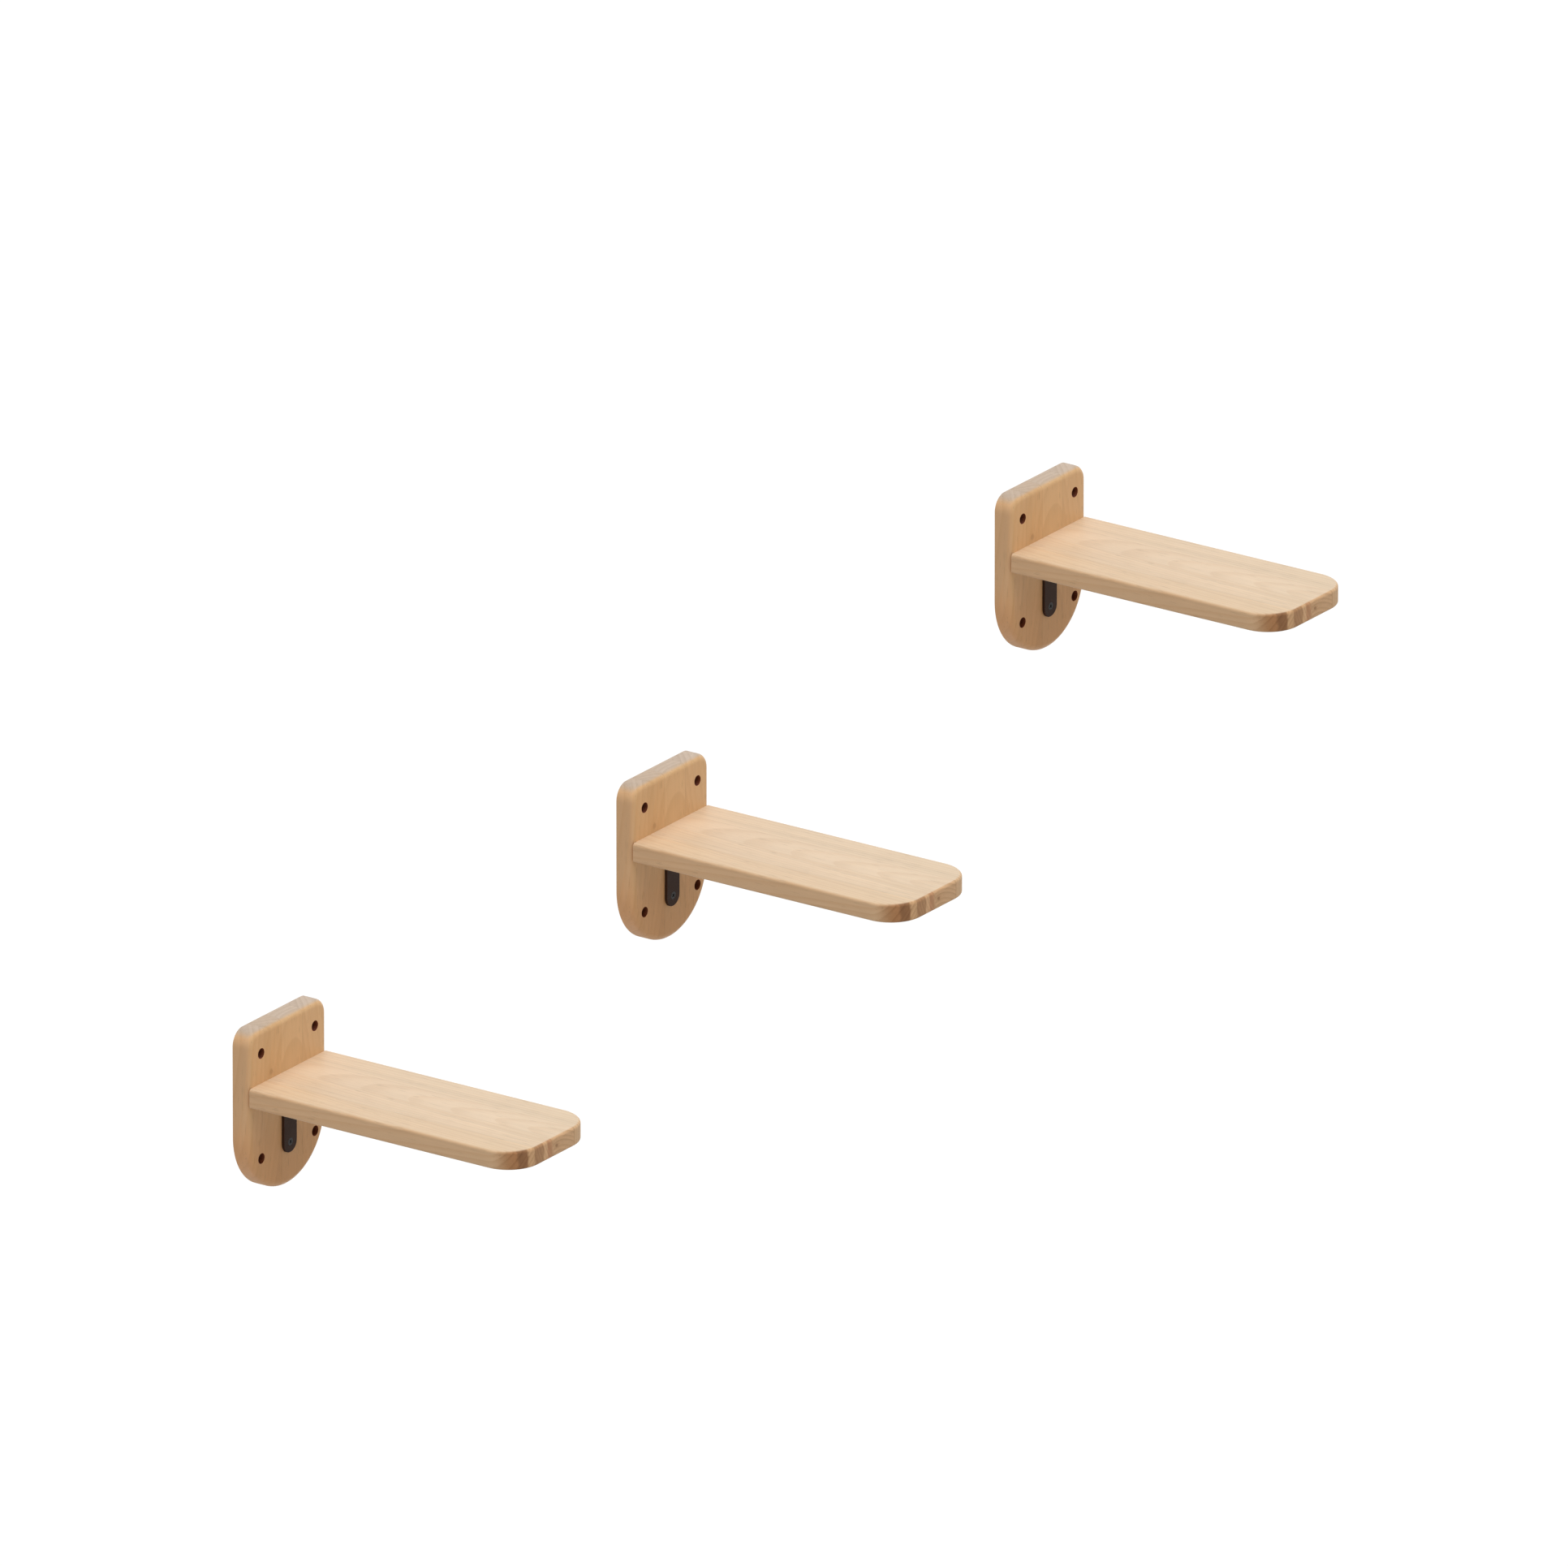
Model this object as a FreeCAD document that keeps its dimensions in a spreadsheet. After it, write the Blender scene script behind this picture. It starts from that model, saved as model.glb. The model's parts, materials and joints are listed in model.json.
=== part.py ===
import FreeCAD, Part
import math
import os
import Sketcher
from enum import IntEnum
from FreeCAD import Rotation, Vector

# A set of three timber wall steps, in millimetres. All three are alike: an upright wall plate with a
# rounded foot, a plank that stands out from it, and a steel angle bracket under the plank.
#
# +X runs along the wall to the right, as seen from the room, +Y into the wall and +Z up. The wall is
# the plane y = 0. The origin is the middle of the middle step's four wall screw holes, on the wall.

SIZES = [
    ("step_width", 120, "plate and plank, side to side: both are cut from one width of panel"),
    ("plate_thickness", 18, "wall plate, back to front"),
    ("plate_top", 73, "top edge of the plate above the middle of its wall screw holes"),
    ("plate_bottom", 88, "foot of the plate below the middle of its wall screw holes"),
    ("plate_corner_radius", 15, "top corners of the plate"),
    ("plate_edge_radius", 6, "roundover along the plate's front edge"),
    ("wall_hole_across", 83, "wall screw holes, centre to centre along X"),
    ("wall_hole_up", 100, "wall screw holes, centre to centre along Z"),
    ("wall_hole_bore", 5.5, "diameter that passes the wall screw's shank"),
    ("wall_head_bore", 9.5, "diameter that takes the wall screw's head"),
    ("wall_head_depth", 8, "depth of the wall screw's head below the plate's front"),
    ("plank_length", 290, "plank, from the plate's front to its own front edge"),
    ("plank_thickness", 18, "plank, top to underside"),
    ("plank_top", 21.5, "walking surface above the middle of the wall screw holes"),
    ("plank_corner_radius", 32, "front corners of the plank"),
    ("plank_top_radius", 3, "roundover along the plank's top edge"),
    ("plank_under_radius", 2, "roundover along the plank's lower edge"),
    ("bracket_width", 20, "angle bracket, side to side"),
    ("bracket_gauge", 2.5, "thickness of the bracket's steel"),
    ("bracket_plate_leg", 60, "bracket's leg on the plate, from the outside of the bend"),
    ("bracket_plank_leg", 60, "bracket's leg under the plank, from the outside of the bend"),
    ("bracket_bend_radius", 2, "inside radius of the bend"),
    ("bracket_end_flat", 0.5, "straight stretch left between the two rounded corners of a leg's end"),
    ("bracket_edge_radius", 0.6, "softened edge of the bracket's open face"),
    ("bracket_hole_end", 10, "outer screw hole to the end of its leg"),
    ("bracket_hole_pitch", 28, "the two screw holes of one leg, centre to centre"),
    ("short_screw_length", 15, "bracket screw, over all"),
    ("short_screw_shank", 3.5, "bracket screw, shank diameter"),
    ("short_screw_head", 7.4, "bracket screw, head diameter"),
    ("short_screw_recess", 4, "bracket screw, cross recess from tip to tip"),
    ("long_screw_length", 60, "plank screw, over all"),
    ("long_screw_shank", 4.5, "plank screw, shank diameter"),
    ("long_screw_head", 9, "plank screw, head diameter"),
    ("long_screw_recess", 5, "plank screw, cross recess from tip to tip"),
    ("long_screw_sunk", 1, "plank screw's head below the plate's back"),
    ("long_screw_across", 40, "plank screws, centre to centre"),
    ("screw_tip", 4, "length of a screw's point"),
    ("recess_width", 1, "width of a cross recess's arms"),
    ("recess_depth", 1.2, "depth of a cross recess"),
    ("dowel_diameter", 8, "beech dowel"),
    ("dowel_length", 30, "beech dowel, over all"),
    ("dowel_in_plate", 10, "stretch of a dowel that is in the plate"),
    ("dowel_across", 84, "dowels, centre to centre"),
    ("dowel_chamfer", 1, "bevel on a dowel's ends"),
    ("dowel_flute_radius", 0.5, "glue flutes along a dowel"),
    ("dowel_flutes", 8, "number of glue flutes round a dowel"),
    ("screw_clearance", 0.1, "gap round a screw in its hole, on the radius"),
    ("dowel_clearance", 0.1, "gap round a dowel in its hole, on the radius"),
    ("blind_hole_spare", 1, "blind hole past the tip of what it holds"),
    ("lower_step_x", -597, "lower step from the middle one along the wall"),
    ("lower_step_z", -46, "lower step from the middle one in height"),
    ("upper_step_x", 598, "upper step from the middle one along the wall"),
    ("upper_step_z", 91, "upper step from the middle one in height"),
]

# Each step hangs by itself: how far its plate is from the middle one, along the wall and in height.
STEPS = {
    "lower": ("sizes.lower_step_x", "sizes.lower_step_z"),
    "middle": ("0", "0"),
    "upper": ("sizes.upper_step_x", "sizes.upper_step_z"),
}

# Heights that several pieces share, from the middle of the wall screw holes.
PLANK_MIDDLE = "sizes.plank_top - sizes.plank_thickness / 2"
PLANK_UNDERSIDE = "sizes.plank_top - sizes.plank_thickness"

# The bracket's screw holes, each leg's from the outside of the bend: the one by the round end, then
# the one by the bend.
PLATE_LEG_HOLES = (
    "sizes.bracket_plate_leg - sizes.bracket_hole_end",
    "sizes.bracket_plate_leg - sizes.bracket_hole_end - sizes.bracket_hole_pitch",
)
PLANK_LEG_HOLES = (
    "sizes.bracket_plank_leg - sizes.bracket_hole_end",
    "sizes.bracket_plank_leg - sizes.bracket_hole_end - sizes.bracket_hole_pitch",
)

# How deep the pilot holes go into the wood that the screws and dowels grip.
SHORT_PILOT = "sizes.short_screw_length - sizes.bracket_gauge + sizes.blind_hole_spare"
LONG_PILOT = (
    "sizes.long_screw_length + sizes.long_screw_sunk - sizes.plate_thickness"
    " + sizes.blind_hole_spare"
)
DOWEL_IN_PLANK = "sizes.dowel_length - sizes.dowel_in_plate + sizes.blind_hole_spare"

SHORT_BORE = "sizes.short_screw_shank + 2 * sizes.screw_clearance"
LONG_BORE = "sizes.long_screw_shank + 2 * sizes.screw_clearance"
DOWEL_BORE = "sizes.dowel_diameter + 2 * sizes.dowel_clearance"

NEAR = 0.001


class Point(IntEnum):
    """Which point of a sketch's line, arc or circle a constraint holds."""

    START = 1
    END = 2
    CENTRE = 3


class Axis(IntEnum):
    """A sketch's own axes, as geometry that a constraint can hold on to."""

    H = -1
    V = -2


ORIGIN = (Axis.H, Point.START)


def size_sheet(doc):
    """The driving sizes, each in a cell under its own name."""
    sheet = doc.addObject("Spreadsheet::Sheet", "sizes")
    for row, (name, number, note) in enumerate(SIZES, start=1):
        sheet.set(f"A{row}", name)
        sheet.set(f"B{row}", str(number))
        sheet.setAlias(f"B{row}", name)
        sheet.set(f"C{row}", note)
    doc.recompute()


# ---- bodies, sketches and features ----


def new_body(doc, label, place, turn=Rotation()):
    """An empty body whose place on the wall follows the sheet."""
    body = doc.addObject("PartDesign::Body", label)
    body.Label = label
    body.Placement = FreeCAD.Placement(Vector(), turn)
    for axis, formula in zip("xyz", place):
        body.setExpression(f"Placement.Base.{axis}", formula)
    return body


def new_sketch(body, name, role, offset=None):
    """A sketch on one of the body's own origin planes, or parallel to it at an offset."""
    sketch = body.newObject("Sketcher::SketchObject", name)
    plane = next(item for item in body.Origin.OriginFeatures if item.Role == role)
    sketch.AttachmentSupport = [(plane, "")]
    sketch.MapMode = "FlatFace"
    if offset:
        sketch.setExpression("AttachmentOffset.Base.z", offset)
    return sketch


def bind(sketch, name, constraint, formula):
    """Adds a dimension that follows the sheet."""
    index = sketch.addConstraint(constraint)
    sketch.renameConstraint(index, name)
    sketch.setExpression(f"Constraints.{name}", formula)


def line(sketch, start, end):
    return sketch.addGeometry(Part.LineSegment(Vector(*start, 0), Vector(*end, 0)))


def arc(sketch, centre, radius, quarter, quarters=1):
    """An arc that starts at so many quarter turns from the sketch's X axis."""
    circle = Part.Circle(Vector(*centre, 0), Vector(0, 0, 1), radius)
    start = quarter * math.pi / 2
    return sketch.addGeometry(Part.ArcOfCircle(circle, start, start + quarters * math.pi / 2))


def join(sketch, kind, first, first_end, second, second_end):
    """Joins two ends, Coincident at a corner or Tangent where the outline runs on smoothly."""
    sketch.addConstraint(Sketcher.Constraint(kind, first, first_end, second, second_end))


def keep(sketch, kind, *lines):
    """Keeps lines Horizontal or Vertical."""
    for index in lines:
        sketch.addConstraint(Sketcher.Constraint(kind, index))


def settle(sketch):
    """Solves the sketch, which must be fully held by its constraints."""
    sketch.Document.recompute()
    if sketch.solve() != 0 or not sketch.FullyConstrained:
        raise RuntimeError(f"sketch {sketch.Label} isn't settled")


def add_feature(body, kind, name, **settings):
    """Adds a feature on top of the body, and checks that it changed the solid."""
    before = body.Tip.Shape.Volume if body.Tip else 0.0
    feature = body.newObject(f"PartDesign::{kind}", name)
    for setting, wanted in settings.items():
        if isinstance(wanted, str) and "sizes." in wanted:
            feature.setExpression(setting, wanted)
        else:
            setattr(feature, setting, wanted)
    body.Tip = feature
    body.Document.recompute()
    if abs(feature.Shape.Volume - before) < NEAR:
        raise RuntimeError(f"{body.Label}: {name} changes nothing")
    return feature


def round_edges(body, name, radius, wanted):
    """Rounds every edge of the body that the test picks."""
    edges = enumerate(body.Tip.Shape.Edges, start=1)
    picked = [f"Edge{index}" for index, edge in edges if wanted(edge)]
    before = body.Tip
    return add_feature(body, "Fillet", name, Base=(before, picked), Radius=radius)


def all_at(edge, axis, level):
    """Whether both ends of an edge lie at one level of an axis."""
    return all(abs(getattr(end.Point, axis) - level) < NEAR for end in edge.Vertexes)


def circles(body, name, role, offset, centres, diameter):
    """A sketch of equal circles. A centre's first distance is None where it lies on the V axis."""
    sketch = new_sketch(body, name, role, offset)
    radius = body.evalExpression(diameter) / 2
    for number, (across, up) in enumerate(centres):
        x = body.evalExpression(across) if across else 0.0
        centre = Vector(x, body.evalExpression(up), 0)
        index = sketch.addGeometry(Part.Circle(centre, Vector(0, 0, 1), radius))
        if across:
            distance = Sketcher.Constraint("DistanceX", *ORIGIN, index, Point.CENTRE, centre.x)
            bind(sketch, f"across_{number}", distance, across)
        else:
            sketch.addConstraint(Sketcher.Constraint("PointOnObject", index, Point.CENTRE, Axis.V))
        distance = Sketcher.Constraint("DistanceY", *ORIGIN, index, Point.CENTRE, centre.y)
        bind(sketch, f"up_{number}", distance, up)
        if number:
            sketch.addConstraint(Sketcher.Constraint("Equal", 0, index))
    bind(sketch, "bore", Sketcher.Constraint("Diameter", 0, 2 * radius), diameter)
    settle(sketch)
    return sketch


def revolved(body, name, corners, formulas):
    """Turns an outline round the body's Y axis. A formula holds a corner's distance from the axis
    or from the head end, by the corner's number and the direction."""
    sketch = new_sketch(body, f"{name}_outline", "XY_Plane")
    count = len(corners)
    for index in range(count):
        line(sketch, corners[index], corners[(index + 1) % count])
    for index in range(count):
        join(sketch, "Coincident", index, Point.END, (index + 1) % count, Point.START)
    sketch.addConstraint(Sketcher.Constraint("Coincident", 0, Point.START, *ORIGIN))
    sketch.addConstraint(Sketcher.Constraint("PointOnObject", count - 1, Point.START, Axis.V))
    for (index, direction), formula in formulas.items():
        number = corners[index]["XY".index(direction)]
        distance = Sketcher.Constraint(f"Distance{direction}", *ORIGIN, index, Point.START, number)
        bind(sketch, f"corner_{index}_{direction}", distance, formula)
    keep(sketch, "Horizontal", 0)
    settle(sketch)
    return add_feature(
        body, "Revolution", name, Profile=sketch, ReferenceAxis=(sketch, ["V_Axis"]), Angle=360
    )


# ---- wall plate ----


def plate_outline(body):
    """The plate from the front: round top corners, straight sides and a half round foot."""
    sketch = new_sketch(body, "outline", "XZ_Plane")
    half = body.evalExpression("sizes.step_width / 2")
    top = body.evalExpression("sizes.plate_top")
    foot = half - body.evalExpression("sizes.plate_bottom")
    corner = body.evalExpression("sizes.plate_corner_radius")
    left = line(sketch, (-half, foot), (-half, top - corner))
    left_corner = arc(sketch, (corner - half, top - corner), corner, 1)
    edge = line(sketch, (corner - half, top), (half - corner, top))
    right_corner = arc(sketch, (half - corner, top - corner), corner, 0)
    right = line(sketch, (half, top - corner), (half, foot))
    round_foot = arc(sketch, (0, foot), half, 2, quarters=2)
    join(sketch, "Tangent", left, Point.END, left_corner, Point.END)
    join(sketch, "Tangent", left_corner, Point.START, edge, Point.START)
    join(sketch, "Tangent", edge, Point.END, right_corner, Point.END)
    join(sketch, "Tangent", right_corner, Point.START, right, Point.START)
    join(sketch, "Tangent", right, Point.END, round_foot, Point.END)
    join(sketch, "Tangent", round_foot, Point.START, left, Point.START)
    keep(sketch, "Horizontal", edge)
    keep(sketch, "Vertical", left, right)
    sketch.addConstraint(Sketcher.Constraint("Equal", left_corner, right_corner))
    sketch.addConstraint(Sketcher.Constraint("PointOnObject", round_foot, Point.CENTRE, Axis.V))
    radius = Sketcher.Constraint("Radius", left_corner, corner)
    bind(sketch, "corner", radius, "sizes.plate_corner_radius")
    bind(sketch, "foot", Sketcher.Constraint("Radius", round_foot, half), "sizes.step_width / 2")
    height = Sketcher.Constraint("DistanceY", *ORIGIN, edge, Point.START, top)
    bind(sketch, "top", height, "sizes.plate_top")
    depth = Sketcher.Constraint("DistanceY", *ORIGIN, round_foot, Point.CENTRE, foot)
    bind(sketch, "foot_centre", depth, "sizes.step_width / 2 - sizes.plate_bottom")
    settle(sketch)
    return sketch


def wall_plate(doc, step, x, z):
    """The upright board on the wall, with its four wall screw holes and the holes of its joints."""
    body = new_body(doc, f"{step}_wall_plate", (x, "0", z))
    add_feature(body, "Pad", "board", Profile=plate_outline(body), Length="sizes.plate_thickness")
    front = -body.evalExpression("sizes.plate_thickness")
    round_edges(
        body, "front_edge", "sizes.plate_edge_radius", lambda edge: all_at(edge, "y", front)
    )
    corners = [
        (f"{side} * sizes.wall_hole_across / 2", f"{end} * sizes.wall_hole_up / 2")
        for side in (-1, 1)
        for end in (-1, 1)
    ]
    at_front = "sizes.plate_thickness"
    wall_holes = circles(
        body, "wall_hole_places", "XZ_Plane", at_front, corners, "sizes.wall_hole_bore"
    )
    add_feature(
        body,
        "Hole",
        "wall_holes",
        Profile=wall_holes,
        DepthType="ThroughAll",
        Diameter="sizes.wall_hole_bore",
        HoleCutType="Counterbore",
        HoleCutDiameter="sizes.wall_head_bore",
        HoleCutDepth="sizes.wall_head_depth",
    )
    across = [(f"{side} * sizes.long_screw_across / 2", PLANK_MIDDLE) for side in (-1, 1)]
    screw_holes = circles(body, "screw_hole_places", "XZ_Plane", None, across, LONG_BORE)
    add_feature(
        body,
        "Hole",
        "screw_holes",
        Profile=screw_holes,
        Reversed=True,
        DepthType="ThroughAll",
        Diameter=LONG_BORE,
        HoleCutType="Countersink",
        HoleCutDiameter="sizes.long_screw_head + 2 * sizes.screw_clearance"
        " + 2 * sizes.long_screw_sunk",
        HoleCutCountersinkAngle=90,
    )
    across = [(f"{side} * sizes.dowel_across / 2", PLANK_MIDDLE) for side in (-1, 1)]
    dowel_holes = circles(body, "dowel_hole_places", "XZ_Plane", at_front, across, DOWEL_BORE)
    add_feature(
        body,
        "Pocket",
        "dowel_holes",
        Profile=dowel_holes,
        Length="sizes.dowel_in_plate + sizes.blind_hole_spare",
    )
    down = [(None, f"{PLANK_UNDERSIDE} - ({hole})") for hole in PLATE_LEG_HOLES]
    pilots = circles(body, "pilot_places", "XZ_Plane", at_front, down, SHORT_BORE)
    add_feature(body, "Pocket", "bracket_pilots", Profile=pilots, Length=SHORT_PILOT)
    return body


# ---- plank ----


def plank_outline(body):
    """The plank from above: square at the plate and round at the front corners."""
    sketch = new_sketch(body, "outline", "XY_Plane")
    half = body.evalExpression("sizes.step_width / 2")
    length = body.evalExpression("sizes.plank_length")
    corner = body.evalExpression("sizes.plank_corner_radius")
    root = line(sketch, (-half, 0), (half, 0))
    right = line(sketch, (half, 0), (half, corner - length))
    right_corner = arc(sketch, (half - corner, corner - length), corner, 3)
    front = line(sketch, (half - corner, -length), (corner - half, -length))
    left_corner = arc(sketch, (corner - half, corner - length), corner, 2)
    left = line(sketch, (-half, corner - length), (-half, 0))
    join(sketch, "Coincident", root, Point.END, right, Point.START)
    join(sketch, "Tangent", right, Point.END, right_corner, Point.END)
    join(sketch, "Tangent", right_corner, Point.START, front, Point.START)
    join(sketch, "Tangent", front, Point.END, left_corner, Point.END)
    join(sketch, "Tangent", left_corner, Point.START, left, Point.START)
    join(sketch, "Coincident", left, Point.END, root, Point.START)
    keep(sketch, "Horizontal", front)
    keep(sketch, "Vertical", left, right)
    sketch.addConstraint(Sketcher.Constraint("Equal", left_corner, right_corner))
    sketch.addConstraint(Sketcher.Constraint("Symmetric", root, Point.START, root, Point.END, *ORIGIN))
    keep(sketch, "Horizontal", root)
    width = Sketcher.Constraint("DistanceX", root, Point.START, root, Point.END, 2 * half)
    bind(sketch, "width", width, "sizes.step_width")
    radius = Sketcher.Constraint("Radius", right_corner, corner)
    bind(sketch, "corner", radius, "sizes.plank_corner_radius")
    reach = Sketcher.Constraint("DistanceY", front, Point.START, *ORIGIN, length)
    bind(sketch, "length", reach, "sizes.plank_length")
    settle(sketch)
    return sketch


def step_plank(doc, step, x, z):
    """The board that stands out from the plate, with the pilot and dowel holes of its joints."""
    place = (x, "-sizes.plate_thickness", f"{z} + sizes.plank_top")
    body = new_body(doc, f"{step}_step_plank", place)
    outline = plank_outline(body)
    add_feature(
        body, "Pad", "board", Profile=outline, Length="sizes.plank_thickness", Reversed=True
    )
    under = -body.evalExpression("sizes.plank_thickness")
    round_edges(
        body,
        "top_edge",
        "sizes.plank_top_radius",
        lambda edge: all_at(edge, "z", 0) and not all_at(edge, "y", 0),
    )
    round_edges(
        body,
        "under_edge",
        "sizes.plank_under_radius",
        lambda edge: all_at(edge, "z", under) and not all_at(edge, "y", 0),
    )
    middle = "-sizes.plank_thickness / 2"
    across = [(f"{side} * sizes.long_screw_across / 2", middle) for side in (-1, 1)]
    screws = circles(body, "screw_pilot_places", "XZ_Plane", None, across, LONG_BORE)
    add_feature(
        body, "Pocket", "screw_pilots", Profile=screws, Length=LONG_PILOT, Reversed=True
    )
    across = [(f"{side} * sizes.dowel_across / 2", middle) for side in (-1, 1)]
    dowels = circles(body, "dowel_hole_places", "XZ_Plane", None, across, DOWEL_BORE)
    add_feature(
        body, "Pocket", "dowel_holes", Profile=dowels, Length=DOWEL_IN_PLANK, Reversed=True
    )
    out = [(None, f"-({hole})") for hole in PLANK_LEG_HOLES]
    underside = "-sizes.plank_thickness"
    pilots = circles(body, "bracket_pilot_places", "XY_Plane", underside, out, SHORT_BORE)
    add_feature(
        body, "Pocket", "bracket_pilots", Profile=pilots, Length=SHORT_PILOT, Reversed=True
    )
    return body


# ---- angle bracket ----


def bracket_profile(body):
    """The bent strip from the side, in the corner between the plate and the plank."""
    sketch = new_sketch(body, "profile", "YZ_Plane")
    down = body.evalExpression("sizes.bracket_plate_leg")
    out = body.evalExpression("sizes.bracket_plank_leg")
    gauge = body.evalExpression("sizes.bracket_gauge")
    inside = body.evalExpression("sizes.bracket_bend_radius")
    bend = inside + gauge
    plate_side = line(sketch, (0, -down), (0, -bend))
    outer_bend = arc(sketch, (-bend, -bend), bend, 0)
    plank_side = line(sketch, (-bend, 0), (-out, 0))
    plank_end = line(sketch, (-out, 0), (-out, -gauge))
    underside = line(sketch, (-out, -gauge), (-bend, -gauge))
    inner_bend = arc(sketch, (-bend, -bend), inside, 0)
    front = line(sketch, (-gauge, -bend), (-gauge, -down))
    plate_end = line(sketch, (-gauge, -down), (0, -down))
    join(sketch, "Tangent", plate_side, Point.END, outer_bend, Point.START)
    join(sketch, "Tangent", outer_bend, Point.END, plank_side, Point.START)
    join(sketch, "Coincident", plank_side, Point.END, plank_end, Point.START)
    join(sketch, "Coincident", plank_end, Point.END, underside, Point.START)
    join(sketch, "Tangent", underside, Point.END, inner_bend, Point.END)
    join(sketch, "Tangent", inner_bend, Point.START, front, Point.START)
    join(sketch, "Coincident", front, Point.END, plate_end, Point.START)
    join(sketch, "Coincident", plate_end, Point.END, plate_side, Point.START)
    keep(sketch, "Vertical", plate_side, plank_end, front)
    keep(sketch, "Horizontal", plank_side, underside, plate_end)
    sketch.addConstraint(Sketcher.Constraint("PointOnObject", plate_side, Point.START, Axis.V))
    sketch.addConstraint(Sketcher.Constraint("PointOnObject", plank_side, Point.END, Axis.H))
    leg = Sketcher.Constraint("DistanceY", plate_side, Point.START, *ORIGIN, down)
    bind(sketch, "plate_leg", leg, "sizes.bracket_plate_leg")
    leg = Sketcher.Constraint("DistanceX", plank_side, Point.END, *ORIGIN, out)
    bind(sketch, "plank_leg", leg, "sizes.bracket_plank_leg")
    thick = Sketcher.Constraint("DistanceX", plate_end, Point.START, plate_end, Point.END, gauge)
    bind(sketch, "gauge", thick, "sizes.bracket_gauge")
    radius = Sketcher.Constraint("Radius", inner_bend, inside)
    bind(sketch, "bend", radius, "sizes.bracket_bend_radius")
    centres = Sketcher.Constraint("Coincident", inner_bend, Point.CENTRE, outer_bend, Point.CENTRE)
    sketch.addConstraint(centres)
    settle(sketch)
    return sketch


def angle_bracket(doc, step, x, z):
    """The steel strip under the plank. The body's origin is the corner that it sits in."""
    place = (x, "-sizes.plate_thickness", f"{z} + {PLANK_UNDERSIDE}")
    body = new_body(doc, f"{step}_angle_bracket", place)
    profile = bracket_profile(body)
    add_feature(
        body, "Pad", "strip", Profile=profile, Length="sizes.bracket_width", SideType="Symmetric"
    )
    down = body.evalExpression("sizes.bracket_plate_leg")
    out = body.evalExpression("sizes.bracket_plank_leg")
    gauge = body.evalExpression("sizes.bracket_gauge")
    width = body.evalExpression("sizes.bracket_width")

    def across_an_end(edge):
        at_end = all_at(edge, "z", -down) or all_at(edge, "y", -out)
        return at_end and abs(edge.Length - gauge) < NEAR

    def on_the_open_face(edge):
        ends = [end.Point for end in edge.Vertexes]
        open_side = all(abs(p.y + gauge) < NEAR or abs(p.z + gauge) < NEAR for p in ends)
        return open_side and abs(ends[0].x - ends[-1].x) < width - NEAR

    round_end = "(sizes.bracket_width - sizes.bracket_end_flat) / 2"
    round_edges(body, "round_ends", round_end, across_an_end)
    round_edges(body, "soft_edge", "sizes.bracket_edge_radius", on_the_open_face)
    head = "sizes.short_screw_head + 2 * sizes.screw_clearance"
    gauge_out = "sizes.bracket_gauge"
    down = [(None, f"-({hole})") for hole in PLATE_LEG_HOLES]
    plate_holes = circles(body, "plate_hole_places", "XZ_Plane", gauge_out, down, SHORT_BORE)
    out = [(None, f"-({hole})") for hole in PLANK_LEG_HOLES]
    plank_holes = circles(
        body, "plank_hole_places", "XY_Plane", "-sizes.bracket_gauge", out, SHORT_BORE
    )
    for name, places, upward in (
        ("plate_holes", plate_holes, False),
        ("plank_holes", plank_holes, True),
    ):
        add_feature(
            body,
            "Hole",
            name,
            Profile=places,
            Reversed=upward,
            DepthType="ThroughAll",
            Diameter=SHORT_BORE,
            HoleCutType="Countersink",
            HoleCutDiameter=head,
            HoleCutCountersinkAngle=90,
        )
    return body


# ---- screws and dowels ----


def wood_screw(body, kind):
    """A countersunk screw along +Y, with the middle of its head's face at the body's origin."""
    head = f"sizes.{kind}_screw_head / 2"
    shank = f"sizes.{kind}_screw_shank / 2"
    neck = f"{head} - {shank}"
    length = f"sizes.{kind}_screw_length"
    tip = f"{length} - sizes.screw_tip"
    corners = [
        (0, 0),
        (body.evalExpression(head), 0),
        (body.evalExpression(shank), body.evalExpression(neck)),
        (body.evalExpression(shank), body.evalExpression(tip)),
        (0, body.evalExpression(length)),
    ]
    formulas = {
        (1, "X"): head,
        (2, "X"): shank,
        (2, "Y"): neck,
        (3, "X"): shank,
        (3, "Y"): tip,
        (4, "Y"): length,
    }
    revolved(body, "screw", corners, formulas)
    length = f"sizes.{kind}_screw_recess"
    arm = recess_arm(body, "arm_across", length, "sizes.recess_width")
    add_feature(body, "Pocket", "recess_across", Profile=arm, Length="sizes.recess_depth")
    arm = recess_arm(body, "arm_along", "sizes.recess_width", length)
    add_feature(body, "Pocket", "recess_along", Profile=arm, Length="sizes.recess_depth")
    return arm


def recess_arm(body, name, width, height):
    """A rectangle centred on the screw's head, one arm of its cross recess."""
    sketch = new_sketch(body, name, "XZ_Plane")
    x = body.evalExpression(width) / 2
    z = body.evalExpression(height) / 2
    bottom = line(sketch, (-x, -z), (x, -z))
    right = line(sketch, (x, -z), (x, z))
    top = line(sketch, (x, z), (-x, z))
    left = line(sketch, (-x, z), (-x, -z))
    for first, second in ((bottom, right), (right, top), (top, left), (left, bottom)):
        join(sketch, "Coincident", first, Point.END, second, Point.START)
    keep(sketch, "Horizontal", bottom, top)
    keep(sketch, "Vertical", left, right)
    sketch.addConstraint(Sketcher.Constraint("Symmetric", bottom, Point.START, top, Point.START, *ORIGIN))
    across = Sketcher.Constraint("DistanceX", bottom, Point.START, bottom, Point.END, 2 * x)
    bind(sketch, "width", across, f"{width}")
    up = Sketcher.Constraint("DistanceY", right, Point.START, right, Point.END, 2 * z)
    bind(sketch, "height", up, f"{height}")
    settle(sketch)
    return sketch


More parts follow.
